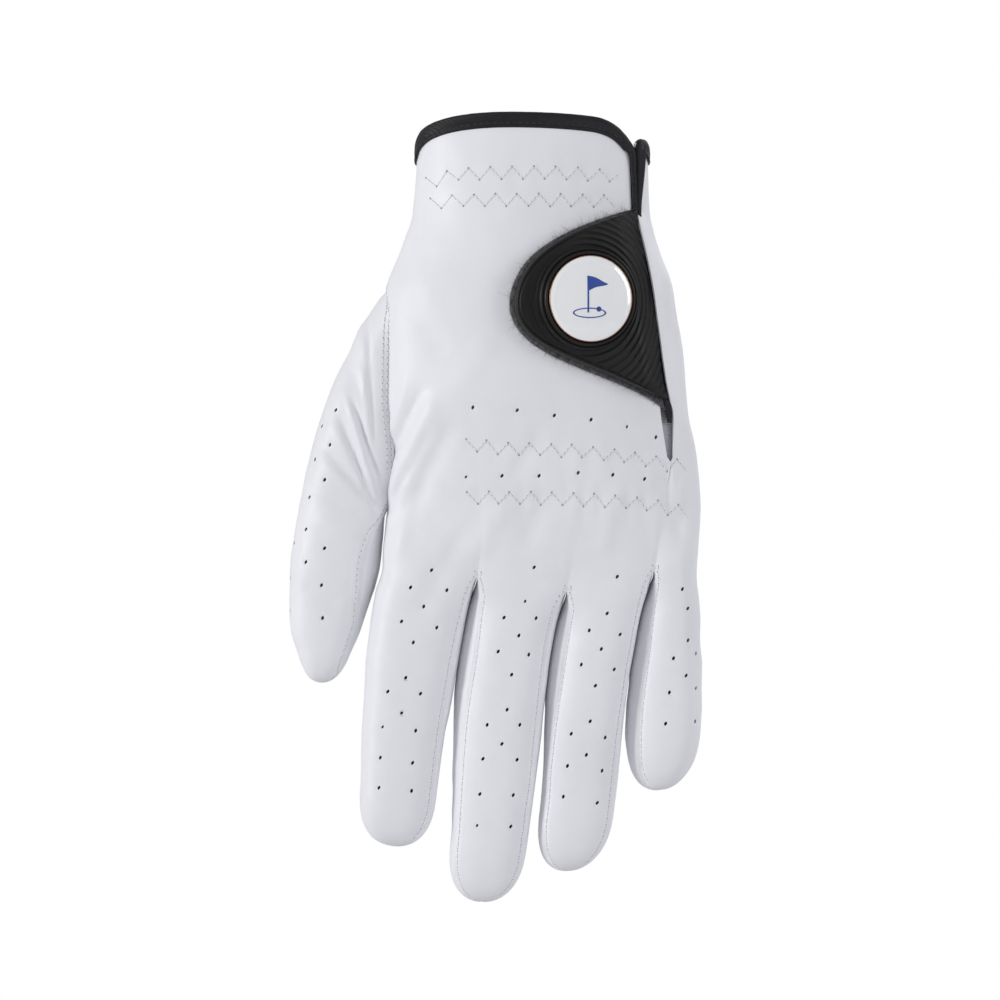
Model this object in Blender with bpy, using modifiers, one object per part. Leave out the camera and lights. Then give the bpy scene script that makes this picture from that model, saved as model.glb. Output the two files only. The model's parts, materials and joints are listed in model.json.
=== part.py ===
"""Golf glove for a left hand: leather panels, elastics, bindings, a closure tab and a ball marker.

Frame: +Z up with the wrist opening on top and the fingers hanging down, the back of the hand
facing -Y, the palm facing +Y and the thumb towards -X. The origin is the middle of the wrist
opening. Functions work in millimetres and the meshes are stored in metres.

The finger frame is the glove's x-z plane turned by LEAN: "across" runs towards the little
finger and "along" runs down the fingers. Left means the thumb's side throughout.

Every panel is an open sheet laid on the inner surface of the glove and thickened outwards.
The hide is divided along the flex lines: knuckles, two joints in each finger and two in the
thumb. Section angles run 0 on the little finger's side, 90 degrees on the back, 180 on the
thumb's side and 270 on the palm.
"""

import math

import bmesh
import bpy
from mathutils import Vector

MM = 0.001
PI = math.pi

# ------------------------------------------------------------------ driving dimensions, mm
SHEET = 0.8  # leather
GAP = 0.3  # between neighbouring pieces
SEAM_GAP = GAP * 0.6  # that each strip stands back from a lengthwise seam
LEAN = math.radians(7.0)  # the fingers lean towards the thumb's side
FINGER_Z = -101.45  # height of the finger frame's origin, on the glove's middle line

KNUCKLE_ALONG = 10.0  # knuckle flex line
KNUCKLE_HAND_CUT = math.radians(33.0)  # share of the palm notch cut from the hand
KNUCKLE_FINGER_CUT = math.radians(28.0)  # share cut from the finger roots
KNUCKLE_BLEND = 18.0  # length over which the hand's section becomes the fingers'
KNUCKLE_CROTCH = 24.0  # where the finger roots are apart in the knuckle sheets

# Flex of each joint, degrees: the near and the far joint of a digit
FINGER_TURNS = (80.0, 80.0 * 0.67)
THUMB_TURNS = (45.0, 60.0)
FLEX_SPARE = 0.8  # added to each half of a flex notch, degrees

# Stations down the hand: (z, value)
HAND_LEFT = (
    (6, -33.4), (-12, -33.8), (-24, -34.8), (-35, -38.3), (-47, -42.9),
    (-58, -44.4), (-78, -44.5), (-93, -43.0), (-104, -42.3), (-116, -41.8),
)
HAND_RIGHT = (
    (6, 33.0), (-12, 33.4), (-24, 34.0), (-30, 35.2), (-41, 38.6), (-53, 41.2),
    (-64, 43.4), (-82, 45.0), (-93, 47.2), (-105, 48.4), (-120, 49.0),
)
SLIT = (
    (6, 28.6), (-24, 29.4), (-30, 31.2), (-42, 33.9), (-52, 35.7),
    (-64, 37.7), (-83, 39.1), (-103, 40.0), (-118, 40.4),
)
BACK_RISE = ((6, 14.5), (-24, 17.0), (-50, 18.5), (-80, 17.0), (-100, 14.5), (-112, 12.8))
PALM_RISE = ((6, 13.5), (-24, 14.4), (-50, 15.2), (-80, 15.2), (-100, 13.6), (-112, 12.0))
# Section angle in degrees of each panel's edge on the thumb's side
BACK_SEAM = ((6, 172), (-30, 172), (-50, 161), (-96, 161), (-108, 165), (-116, 172))
PALM_SEAM = ((6, 176), (-30, 176), (-50, 206), (-96, 206), (-108, 198), (-116, 188))
SLIT_BACK, SLIT_FLAP = 1.3, 1.9  # how far the two edges stand back from the slit's line
PALM_FLAT = 13.6  # the palm's section is cut flat at this depth
BACK_APEX = 0.40  # share of the width, from the left, at which the back is highest
HAND_ROUND = 2.05  # section exponents
DIGIT_ROUND = 2.5
KNUCKLE_ROUND = 2.2

# Stations down each digit in the finger frame, (along, value): left edge, right edge, half
# thickness. near and far are its flex lines, y its middle depth, and its end rounds off from
# round_from to tip. search is where the strips' stations are first sought.
FINGERS = {
    "index": dict(
        left=((10, -41.3), (30, -40.6), (50, -42.0), (67, -41.1), (92, -38.9), (104, -38.2)),
        right=((10, -13.1), (30, -13.4), (50, -16.5), (67, -17.2), (92, -16.8), (104, -16.6)),
        half=((10, 9.5), (30, 8.3), (54, 7.8), (79, 7.2), (100, 6.8)),
        y=0.0, near=54.0, far=79.0, tip=110.2, round_from=98.0, search="near",
        strips=("back", "palm_left", "right"),
    ),
    "middle": dict(
        left=(
            (10, -11.9), (30, -11.8), (50, -14.2), (63, -14.6),
            (75, -13.8), (98, -11.7), (114, -11.0),
        ),
        right=((10, 12.9), (30, 12.9), (50, 11.2), (75, 11.2), (98, 11.2), (114, 11.0)),
        half=((10, 9.5), (30, 8.5), (58, 8.0), (87, 7.3), (112, 6.9)),
        y=0.0, near=58.0, far=87.0, tip=123.2, round_from=111.0, search="near",
        strips=("back", "palm", "left", "right"),
    ),
    "ring": dict(
        left=((10, 14.2), (30, 14.4), (50, 12.2), (63, 12.1), (84, 13.2), (102, 13.7)),
        right=(
            (10, 36.7), (21, 36.9), (36, 35.9), (54, 34.6),
            (70, 34.5), (90, 34.6), (102, 34.4),
        ),
        half=((10, 9.3), (30, 8.2), (52, 7.7), (79, 7.1), (100, 6.7)),
        y=0.4, near=52.0, far=79.0, tip=111.0, round_from=99.5, search="near",
        strips=("back", "palm", "left", "right"),
    ),
    "little": dict(
        left=(
            (10, 38.4), (21, 38.6), (36, 36.6), (54, 35.4),
            (64, 35.2), (72, 36.0), (78, 37.0),
        ),
        right=(
            (10, 49.7), (20, 50.3), (30, 52.2), (40, 53.4),
            (50, 55.4), (60, 56.6), (70, 57.0), (78, 56.0),
        ),
        half=((10, 8.6), (21, 8.0), (39, 7.2), (59, 6.8), (74, 6.4)),
        y=1.0, near=39.5, far=59.0, tip=85.5, round_from=73.5, search="near",
        strips=("back", "palm_right", "left"),
    ),
}
THUMB = dict(
    left=(
        (-46, -52.5), (-30, -59.0), (-17, -63.0), (0, -66.2), (15, -67.6),
        (30, -68.0), (40, -66.9), (47, -65.4), (66, -64.0),
    ),
    right=(
        (-46, -47.6), (-30, -46.4), (-17, -45.2), (0, -44.0), (12, -42.6),
        (24, -42.6), (32, -42.6), (40, -43.6), (47, -44.2), (66, -45.2),
    ),
    half=((-46, 5.0), (-30, 8.5), (-10, 10.0), (20, 9.6), (34, 8.8), (50, 7.6)),
    y=3.0, near=6.0, far=34.0, tip=66.2, round_from=47.0, search="far",
    strips=("thumb_back", "thumb_palm", "thumb_gusset"),
)
# Outline of a digit's rounded end: (power, root)
FINGER_TAPER = (2.3, 0.476)
THUMB_TAPER = (1.35, 0.72)
SIDE_HALF_ANGLE = 36  # half the angle that a side strip spans, degrees

# Lengthwise strips: label, columns, distance of the end from the digit's tip, and the section
# angles between its seams, given the side strip's half angle
STRIPS = {
    "back": ("back", 4, SHEET, lambda seam: (seam, PI - seam)),
    "palm": ("palm", 4, SHEET, lambda seam: (PI + seam, 2 * PI - seam)),
    # Wraps the side towards the thumb
    "palm_left": ("palm", 6, SHEET, lambda seam: (PI - seam, 2 * PI - seam)),
    # Wraps the little finger's outer side
    "palm_right": ("palm", 6, SHEET, lambda seam: (PI + seam, 2 * PI + seam)),
    "left": ("left_strip", 2, 4.5, lambda seam: (PI - seam, PI + seam)),
    "right": ("right_strip", 2, 4.5, lambda seam: (-seam, seam)),
    "thumb_back": ("back", 6, SHEET, lambda seam: (seam * 1.1, PI + seam * 0.8)),
    "thumb_palm": ("palm", 5, SHEET, lambda seam: (PI + seam * 0.8, 2 * PI - seam)),
    "thumb_gusset": ("gusset", 2, 4.5, lambda seam: (-seam, seam * 1.1)),
}

# Closure tab: its fold line's ends, and its reach from that line at stations down it
TAB_FOLD_Y = -9.4
TAB_TOP = Vector((30.8, TAB_FOLD_Y, -23.2))
TAB_BOTTOM = Vector((39.7, TAB_FOLD_Y, -77.4))
TAB_DOWN = (TAB_BOTTOM - TAB_TOP).normalized()
TAB_ACROSS = Vector((TAB_DOWN.z, 0, -TAB_DOWN.x))  # from the fold line towards the thumb's side
TAB_REACH = (
    (0.0, 3.0), (2.0, 12.0), (5.4, 25.0), (12.0, 34.6), (21.6, 39.3),
    (31.0, 35.8), (39.0, 25.2), (47.0, 11.6), (54.0, 3.0),
)
LOOP_REACH = TAB_REACH[:-1] + ((58.0, 6.5),)

# Tab layers: thicknesses, and levels above the leather's outer face
LOOP_THICK, HOOK_THICK, STRAP_THICK, MOULDING_THICK = 0.8, 0.7, 0.8, 1.9
LOOP_LEVEL = GAP + 0.2
HOOK_LEVEL = LOOP_LEVEL + LOOP_THICK + GAP
STRAP_LEVEL = HOOK_LEVEL + HOOK_THICK + GAP
MOULDING_LEVEL = STRAP_LEVEL + STRAP_THICK + GAP

MARKER_R = 12.5
MARKER_TILT = math.radians(17.0)
MARKER_ACROSS, MARKER_DOWN = 17.5, 23.4  # from the tab's fold line, and down it
MARKER_LIFT = 0.75  # of the seat above the moulding's inner face
MARKER_STEPS = 28

TAPE_WALL = 0.6
TAPE_ROOM = 0.2  # between the binding's web and the edge it is set on


# ------------------------------------------------------------------ curves and frames
def interp(stations, at):
    """Smooth curve through (position, value) stations, held level outside them."""
    points = sorted(stations)
    if at <= points[0][0]:
        return points[0][1]
    if at >= points[-1][0]:
        return points[-1][1]
    i = max(k for k in range(len(points) - 1) if points[k][0] <= at)
    (start, value0), (stop, value1) = points[i], points[i + 1]

    def chord(k):
        return (points[k + 1][1] - points[k][1]) / (points[k + 1][0] - points[k][0])

    def slope(k):
        if k == 0 or k == len(points) - 1:
            return chord(i)
        before, after = chord(k - 1), chord(k)
        return 0.0 if before * after <= 0 else 2 * before * after / (before + after)

    span = stop - start
    share = (at - start) / span
    return (
        (1 + 2 * share) * (1 - share) ** 2 * value0
        + share * (1 - share) ** 2 * span * slope(i)
        + share * share * (3 - 2 * share) * value1
        + share * share * (share - 1) * span * slope(i + 1)
    )


def signed_power(value, power):
    return math.copysign(abs(value) ** power, value)


def finger_point(across, y, along):
    """Finger frame to glove."""
    return (
        across * math.cos(LEAN) - along * math.sin(LEAN),
        y,
        FINGER_Z - across * math.sin(LEAN) - along * math.cos(LEAN),
    )


def to_finger(point):
    """Glove to finger frame: (across, along)."""
    x, drop = point[0], FINGER_Z - point[2]
    return (
        x * math.cos(LEAN) + drop * math.sin(LEAN),
        drop * math.cos(LEAN) - x * math.sin(LEAN),
    )


def line_z(x, along):
    """Height, at x, of the line at this distance along the finger frame."""
    return FINGER_Z - (along + x * math.sin(LEAN)) / math.cos(LEAN)


# ------------------------------------------------------------------ scene and materials
for old in list(bpy.data.objects):
    bpy.data.objects.remove(old, do_unlink=True)

parts = bpy.data.collections.new("golf_glove")
cutters = bpy.data.collections.new("cutters")
bpy.context.scene.collection.children.link(parts)
bpy.context.scene.collection.children.link(cutters)


def material(name, colour, roughness, metallic=0.0):
    mat = bpy.data.materials.new(name)
    mat.use_nodes = True
    shader = mat.node_tree.nodes["Principled BSDF"]
    shader.inputs["Base Color"].default_value = (*colour, 1.0)
    shader.inputs["Roughness"].default_value = roughness
    shader.inputs["Metallic"].default_value = metallic
    mat.diffuse_color = (*colour, 1.0)
    return mat


WHITE = material("white_leather", colour=(0.76, 0.76, 0.80), roughness=0.5)
ELASTIC = material("white_elastic", colour=(0.62, 0.62, 0.66), roughness=0.8)
TAPE = material("black_tape", colour=(0.012, 0.012, 0.015), roughness=0.55)
RUBBER = material("black_rubber", colour=(0.018, 0.018, 0.020), roughness=0.6)
HOOK = material("grey_hook", colour=(0.10, 0.10, 0.11), roughness=0.9)
LOOP = material("grey_loop", colour=(0.07, 0.07, 0.08), roughness=0.95)
MAGNET = material("nickel_magnet", colour=(0.55, 0.55, 0.56), roughness=0.3, metallic=1.0)
STEEL = material("copper_rim_steel", colour=(0.55, 0.33, 0.22), roughness=0.3, metallic=1.0)
ENAMEL = material("white_enamel", colour=(0.86, 0.87, 0.90), roughness=0.08)


# ------------------------------------------------------------------ object helpers
joints = {}  # name: (empty, its place in glove millimetres)


def joint_empty(name, at, parent=None):
    """An empty on a joint's axis, carrying the pieces that turn with it."""
    empty = bpy.data.objects.new(name, None)
    empty.empty_display_size = 0.01
    parts.objects.link(empty)
    origin = Vector((0, 0, 0))
    if parent:
        empty.parent, origin = joints[parent]
    at = Vector(at)
    empty.location = (at - origin) * MM
    joints[name] = (empty, at)


def add(name, mesh, mat, body=None):
    """Puts a mesh whose points are in glove millimetres under its body's empty."""
    obj = bpy.data.objects.new(name, mesh)
    mesh.materials.append(mat)
    origin = Vector((0, 0, 0))
    if body:
        obj.parent, origin = joints[body]
    for vertex in mesh.vertices:
        vertex.co = (vertex.co - origin) * MM
    parts.objects.link(obj)
    return obj


def to_mesh(bm, name):
    mesh = bpy.data.meshes.new(name)
    bm.to_mesh(mesh)
    bm.free()
    return mesh


def skin(bm, rows, closed=False):
    """Quads between neighbouring rows of vertices."""
    count = len(rows[0])
    for upper, lower in zip(rows, rows[1:]):
        for i in range(count if closed else count - 1):
            j = (i + 1) % count
            bm.faces.new((upper[i], upper[j], lower[j], lower[i]))


def face_out(bm, inside):
    """Turns the faces away from the points that inside gives for their middles."""
    bm.normal_update()
    total = 0.0
    for face in bm.faces:
        middle = face.calc_center_median()
        total += face.normal.dot(middle - Vector(inside(middle))) * face.calc_area()
    if total < 0:
        bmesh.ops.reverse_faces(bm, faces=bm.faces[:])


def thicken(obj, thickness):
    solid = obj.modifiers.new("Solidify", "SOLIDIFY")
    solid.thickness = thickness * MM
    solid.offset = 1.0
    solid.use_even_offset = False
    solid.use_quality_normals = True


def sheet(name, rows, inside, mat, body=None, thickness=SHEET):
    """A smooth sheet through rows of points, thickened away from inside."""
    bm = bmesh.new()
    skin(bm, [[bm.verts.new(point) for point in row] for row in rows])
    face_out(bm, inside)
    obj = add(name, to_mesh(bm, name), mat, body)
    thicken(obj, thickness)
    for poly in obj.data.polygons:
        poly.use_smooth = True
    return obj


# ------------------------------------------------------------------ the hand's section
def hand_widths(z):
    """The apex's x, and the inner surface's half widths to its left and right."""
    left, right = interp(HAND_LEFT, z), interp(HAND_RIGHT, z)
    apex = left + BACK_APEX * (right - left)
    return apex, apex - left - SHEET, right - apex - SHEET


def hand_section(angle, z):
    """x and y of the inner surface at height z."""
    apex, left_width, right_width = hand_widths(z)
    cosine, sine = math.cos(angle), math.sin(angle)
    width = right_width if cosine > 0 else left_width
    x = apex + width * signed_power(cosine, 2 / HAND_ROUND)
    if sine >= 0:
        return x, -(interp(BACK_RISE, z) - SHEET) * sine ** (2 / HAND_ROUND)
    y = (interp(PALM_RISE, z) - SHEET) * (-sine) ** (2 / HAND_ROUND)
    return x, min(y, PALM_FLAT - SHEET)


def back_y(x, z, out=0.0):
    """The back's depth at x, out being measured outwards from the leather's inner face."""
    apex, left_width, right_width = hand_widths(z)
    width = (right_width if x > apex else left_width) + out
    share = min(0.999, abs(x - apex) / width)
    return -(interp(BACK_RISE, z) - SHEET + out) * (1 - share**HAND_ROUND) ** (1 / HAND_ROUND)


def back_angle(x, z):
    """The section angle at which the back passes x."""
    apex, left_width, right_width = hand_widths(z)
    width = right_width if x > apex else left_width
    share = max(-0.9999, min(0.9999, (x - apex) / width))
    return math.acos(signed_power(share, HAND_ROUND / 2))


def hand_axis(point):
    return (0.0, 0.0, point[2])


def cuff_z(angle):
    """The cuff's edge: high across the back and nearly level across the palm."""
    sine = math.sin(angle)
    return -6.0 + (10.8 * sine / math.sqrt(sine + 0.12) if sine > 0 else 1.5 * sine)


def hand_bottom(angle):
    """The hand's lower edge on the knuckle line, with the palm cut back for the flex."""
    z = line_z(0, KNUCKLE_ALONG)
    for _ in range(6):
        x, y = hand_section(angle, z)
        cut = max(0.0, y + SHEET) * math.tan(KNUCKLE_HAND_CUT) + GAP / 2
        z = line_z(x, KNUCKLE_ALONG - cut)
    return z


# ------------------------------------------------------------------ back and palm panels
def back_seam_angle(z):
    """Where the back ends: on the side seam, then short of the thumb's opening."""
    return math.radians(interp(BACK_SEAM, z))


def palm_seam_angle(z):
    return math.radians(interp(PALM_SEAM, z))


def slit_angle(z):
    return back_angle(interp(SLIT, z) - SLIT_BACK, z)


def flap_angle(z):
    """The palm panel's edge, one turn on, where it has come round onto the back."""
    return back_angle(interp(SLIT, z) + SLIT_FLAP, z) + 2 * PI


def hand_panel(name, right_angle, left_angle, columns, rows=12):
    """A panel between two edges given as section angles at a height."""
    points = []
    for j in range(rows + 1):
        row = []
        for i in range(columns + 1):
            z = -55.0
            # The angle depends on the height and the height on the angle.
            for _ in range(5):
                right = right_angle(z)
                angle = right + i / columns * (left_angle(z) - right)
                top = cuff_z(angle) - 1.4
                z = top + j / rows * (hand_bottom(angle) - top)
            row.append((*hand_section(angle, z), z))
        points.append(row)
    sheet(name, points, hand_axis, WHITE)


hand_panel("back_panel", slit_angle, back_seam_angle, columns=11)
hand_panel("palm_panel", flap_angle, palm_seam_angle, columns=15)


# ------------------------------------------------------------------ cuff and slit bindings
def channel(name, frames, leg, room):
    """A folded tape, U-shaped in section, along frames of (point, outward, towards the edge)."""
    mouth = TAPE_WALL - leg
    outer, inner = SHEET + room, -room
    # (outward, towards the edge): round the outside, then back round the inside
    section = (
        (outer + TAPE_WALL, mouth),
        (outer + TAPE_WALL, TAPE_ROOM + TAPE_WALL),
        (inner - TAPE_WALL, TAPE_ROOM + TAPE_WALL),
        (inner - TAPE_WALL, mouth),
        (inner, mouth),
        (inner, TAPE_ROOM),
        (outer, TAPE_ROOM),
        (outer, mouth),
    )
    bm = bmesh.new()
    rows = [
        [bm.verts.new(Vector(point) + out * a + edge * b) for a, b in section]
        for point, out, edge in frames
    ]
    skin(bm, rows, closed=True)
    for end in (rows[0], rows[-1]):
        for corners in ((0, 1, 6, 7), (1, 2, 5, 6), (2, 3, 4, 5)):
            bm.faces.new([end[k] for k in corners])
    bmesh.ops.recalc_face_normals(bm, faces=bm.faces[:])
    add(name, to_mesh(bm, name), TAPE)


def cuff_frame(angle):
    z = cuff_z(angle) - 0.9
    step = 0.02
    before = Vector((*hand_section(angle - step, z), 0))
    after = Vector((*hand_section(angle + step, z), 0))
    tangent = (after - before).normalized()
    out = Vector((tangent.y, -tangent.x, 0))
    x, y = hand_section(angle, z)
    if out.dot(Vector((x, y, 0))) < 0:
        out = -out
    return (x, y, z + 0.5), out, Vector((0, 0, 1))


def cuff_binding(steps=44):
    start = slit_angle(0) + 0.03
    stop = flap_angle(0) - 0.05
    frames = [cuff_frame(start + (stop - start) * k / steps) for k in range(steps + 1)]
    channel("cuff_binding", frames, leg=4.2, room=GAP)


def slit_frame(z, side):
    """A frame on the slit's edge at height z; side -1 is the back's edge, 1 the flap's."""
    x = interp(SLIT, z) + (SLIT_FLAP + 0.1 if side > 0 else -SLIT_BACK + 0.35)
    step = 0.4
    slope = (back_y(x + step, z) - back_y(x - step, z)) / (2 * step)
    out = Vector((slope, -1, 0)).normalized()
    edge = Vector((-side, -side * slope, 0)).normalized()
    return (x, back_y(x, z), z), out, edge


def slit_binding(name, side, top, bottom, steps, leg, room):
    """A tape set on one edge of the slit, which stands inside it."""
    frames = [slit_frame(top + (bottom - top) * k / steps, side) for k in range(steps + 1)]
    channel(name, frames, leg, room)


cuff_binding()
slit_binding(
    "slit_binding_back", side=-1, top=-5.4, bottom=-58.0, steps=14, leg=3.2, room=0.45
)
slit_binding("slit_binding_flap", side=1, top=-7.4, bottom=-21.0, steps=6, leg=2.2, room=0.6)


# ------------------------------------------------------------------ joints
def finger_joints(finger, digit):
    parent = "knuckles"
    for segment, flex in (("mid", "near"), ("tip", "far")):
        along = digit[flex]
        middle = (interp(digit["left"], along) + interp(digit["right"], along)) / 2
        name = f"{finger}_{segment}"
        joint_empty(name, finger_point(middle, digit["y"], along), parent)
        parent = name


joint_empty("knuckles", finger_point(0, 0, KNUCKLE_ALONG))
for finger, digit in FINGERS.items():
    finger_joints(finger, digit)
joint_empty("thumb_base", finger_point(-55.0, THUMB["y"], THUMB["near"]))
joint_empty("thumb_tip", finger_point(-55.5, THUMB["y"], THUMB["far"]), "thumb_base")
joint_empty("tab", (TAB_TOP + TAB_BOTTOM) / 2)


# ------------------------------------------------------------------ elastics inside the back
def inner_band(name, x_range, high, low, rows, gaps, columns=9):
    """A band inside the back, gaps clear of it, between two heights given as functions of x."""
    points = []
    for j in range(rows + 1):
        row = []
        for i in range(columns + 1):
            x = x_range[0] + (x_range[1] - x_range[0]) * i / columns
            z = high(x) + (low(x) - high(x)) * j / rows
            row.append((x, back_y(x, z, -gaps * GAP - SHEET), z))
        points.append(row)
    sheet(name, points, hand_axis, ELASTIC)


def knuckle_elastic(name, top, bottom):
    """A band parallel to the knuckle line, between two distances along the finger frame."""
    inner_band(
        name, (-18.5, 34.0), lambda x: line_z(x, top), lambda x: line_z(x, bottom),
        rows=1, gaps=2,
    )


def slit_gusset(columns=4, rows=6, thickness=0.5):
    """Lies behind the slit and narrows towards its foot."""
    points = []
    for j in range(rows + 1):
        z = -60.0 - 46.0 * j / rows
        half_width = 3.8 - 2.2 * j / rows
        row = []
        for i in range(columns + 1):
            x = interp(SLIT, z) + half_width * (2 * i / columns - 1) - 1.6
            row.append((x, back_y(x, z, -GAP - TAPE_WALL - thickness), z))
        points.append(row)
    sheet("slit_gusset", points, hand_axis, ELASTIC, thickness=thickness)


inner_band("wrist_elastic", (-28.0, 22.0), lambda x: -11.5, lambda x: -23.0, rows=2, gaps=1)
knuckle_elastic("knuckle_elastic_upper", -12.0, -5.0)
knuckle_elastic("knuckle_elastic_lower", 1.5, 8.5)
slit_gusset()


# ------------------------------------------------------------------ closure tab
def tab_layer(
    name, mat, body, thickness, level, start, down, inset, columns, rows, reach=TAB_REACH
):
    """A layer that follows the back, from start across to its reach less inset."""
    points = []
    for j in range(rows + 1):
        along = down[0] + (down[1] - down[0]) * (0.5 - 0.5 * math.cos(PI * j / rows))
        stop = max(start + 1.2, interp(reach, along) - inset)
        row = []
        for i in range(columns + 1):
            across = start + (stop - start) * i / columns
            place = TAB_TOP + TAB_DOWN * along + TAB_ACROSS * across
            row.append((place.x, back_y(place.x, place.z, SHEET + level), place.z))
        points.append(row)
    return sheet(name, points, lambda p: (p[0], p[1] + 10.0, p[2]), mat, body, thickness)


tab_layer(
    "loop_patch", LOOP, None, LOOP_THICK, LOOP_LEVEL,
    start=5.2, down=(-1.0, 58.0), inset=-2.2, columns=8, rows=12, reach=LOOP_REACH,
)
tab_layer(
    "hook_pad", HOOK, "tab", HOOK_THICK, HOOK_LEVEL,
    start=9.0, down=(5.0, 46.0), inset=3.5, columns=7, rows=9,
)
tab_layer(
    "tab_strap", TAPE, "tab", STRAP_THICK, STRAP_LEVEL,
    start=0.8, down=(0.0, 54.0), inset=0.6, columns=9, rows=12,
)
moulding = tab_layer(
    "tab_moulding", RUBBER, "tab", MOULDING_THICK, MOULDING_LEVEL,
    start=2.6, down=(1.0, 53.0), inset=0.0, columns=11, rows=14,
)


# ------------------------------------------------------------------ ball marker and its seat
marker_out = Vector((math.sin(MARKER_TILT), -math.cos(MARKER_TILT), 0))
marker_turn = Vector((0, 0, 1)).rotation_difference(marker_out)
seat = TAB_TOP + TAB_ACROSS * MARKER_ACROSS + TAB_DOWN * MARKER_DOWN
seat.y = back_y(seat.x, seat.z, SHEET + MOULDING_LEVEL)
seat += marker_out * MARKER_LIFT
joint_empty("marker", seat, "tab")


def seat_hole():
    """The hole through the moulding for the seat's cup."""
    bpy.ops.mesh.primitive_cylinder_add(
        vertices=MARKER_STEPS, radius=(MARKER_R + 1.9) * MM, depth=12.0 * MM
    )
    cutter = bpy.context.object
    cutter.name = "seat_hole_cutter"
    cutter.rotation_mode = "QUATERNION"
    cutter.rotation_quaternion = marker_turn
    cutter.location = seat * MM
    cutter.hide_render = True
    cutter.display_type = "WIRE"
    for holder in list(cutter.users_collection):
        holder.objects.unlink(cutter)
    cutters.objects.link(cutter)
    hole = moulding.modifiers.new("Seat hole", "BOOLEAN")
    hole.operation = "DIFFERENCE"
    hole.object = cutter
    hole.solver = "EXACT"


def turned(name, profile, mat, body, steps=MARKER_STEPS):
    """A piece turned on the marker's axis from a profile of (radius, height above the seat)."""
    bm = bmesh.new()
    line = [bm.verts.new((radius * MM, 0, height * MM)) for radius, height in profile]
    for pair in zip(line, line[1:]):
        bm.edges.new(pair)
    mesh = to_mesh(bm, name)
    mesh.materials.append(mat)
    obj = bpy.data.objects.new(name, mesh)
    parts.objects.link(obj)
    screw = obj.modifiers.new("Screw", "SCREW")
    screw.steps = screw.render_steps = steps
    screw.use_merge_vertices = True
    screw.merge_threshold = 0.00001
    screw.use_smooth_shade = True
    obj.rotation_mode = "QUATERNION"
    obj.rotation_quaternion = marker_turn
    obj.parent, origin = joints[body]
    obj.location = (seat - origin) * MM


def marker_dome():
    radius, foot, rise, steps = MARKER_R - 1.4, 3.4, 0.9, 5
    profile = []
    for k in range(steps + 1):
        angle = PI / 2 * k / steps
        profile.append((radius * math.sin(angle), foot + rise * math.cos(angle) ** 1.2))
    turned("marker_dome", profile + [(0.0, foot)], ENAMEL, "marker")


seat_hole()
turned(
    "seat_cup",
    (
        (MARKER_R + 1.6, 2.6), (MARKER_R + 1.6, 0.1), (0.0, 0.1), (0.0, 0.7),
        (MARKER_R + 0.4, 0.7), (MARKER_R + 0.4, 3.1), (MARKER_R + 1.1, 3.1),
        (MARKER_R + 1.6, 2.6),
    ),
    RUBBER, "tab",
)
turned("seat_magnet", ((0.0, 1.9), (7.0, 1.9), (7.0, 1.0), (0.0, 1.0)), MAGNET, "tab", steps=24)
turned(
    "marker_body",
    (
        (0.0, 3.1), (MARKER_R - 1.1, 3.1), (MARKER_R - 1.1, 3.5), (MARKER_R - 0.1, 3.5),
        (MARKER_R, 3.2), (MARKER_R, 2.5), (MARKER_R - 0.4, 2.2), (0.0, 2.2),
    ),
    STEEL, "marker",
)
marker_dome()


# ------------------------------------------------------------------ a digit's section
def edges_at(digit, along):
    """Left edge, right edge and half thickness of a digit, with its rounded end."""
    left, right, half = (interp(digit[key], along) for key in ("left", "right", "half"))
    if along > digit["round_from"]:
        share = min(1.0, (along - digit["round_from"]) / (digit["tip"] - digit["round_from"]))
        power, root = THUMB_TAPER if digit is THUMB else FINGER_TAPER
        narrowing = max(0.16, (1 - share**power) ** root)
        thinning = max(0.24, (1 - share**2.8) ** 0.5)
        middle, wide = (left + right) / 2, (right - left) / 2
        left, right = middle - wide * narrowing, middle + wide * narrowing
        half *= thinning
    return left, right, half


def digit_section(digit, angle, along):
    """Across and y of a digit's inner surface."""
    left, right, half = edges_at(digit, along)
    wide = (right - left) / 2 - SHEET
    power = 2 / DIGIT_ROUND
    across = (left + right) / 2 + wide * signed_power(math.cos(angle), power)
    y = digit["y"] - max(0.45, half - SHEET) * signed_power(math.sin(angle), power)
    return across, y


def digit_axis(digit):
    """The function that gives the digit's middle beside a point, short of its tip."""

    def axis(point):
        along = min(to_finger(point)[1], digit["tip"] - 8)
        left, right, _ = edges_at(digit, along)
        return finger_point((left + right) / 2, digit["y"], along)

    return axis


def seam_angle(digit, along):
    """Half the angle that a side strip spans, which narrows round the digit's end."""
    stations = (
        (0, SIDE_HALF_ANGLE), (digit["round_from"] - 6, SIDE_HALF_ANGLE),
        (digit["tip"] - 5, 16), (digit["tip"], 12),
    )
    return math.radians(interp(stations, along))


def gap_angle(digit, angle, along):
    """The section angle that leaves the seam's gap beside this one."""
    step = 0.02
    across0, y0 = digit_section(digit, angle - step, along)
    across1, y1 = digit_section(digit, angle + step, along)
    return SEAM_GAP * 2 * step / max(1e-6, math.hypot(across1 - across0, y1 - y0))


def off_seam(digit, angle, along, column, columns, direction):
    """Moves the first and last columns in from their seams; direction is the columns' turn."""
    if column == 0:
        return angle + direction * gap_angle(digit, angle, along)
    if column == columns:
        return angle - direction * gap_angle(digit, angle, along)
    return angle


def notch(digit, angle, flex, turn, sign):
    """A strip's end at a flex line: square on the back, cut back towards the palm.

    sign is 1 for a piece beyond the flex line and -1 for one before it.
    """
    _, y = digit_section(digit, angle, flex)
    depth = max(0.0, y - digit["y"] + SHEET)
    return flex + sign * (depth * math.tan(math.radians(turn / 2 + FLEX_SPARE)) + GAP / 2)


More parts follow.
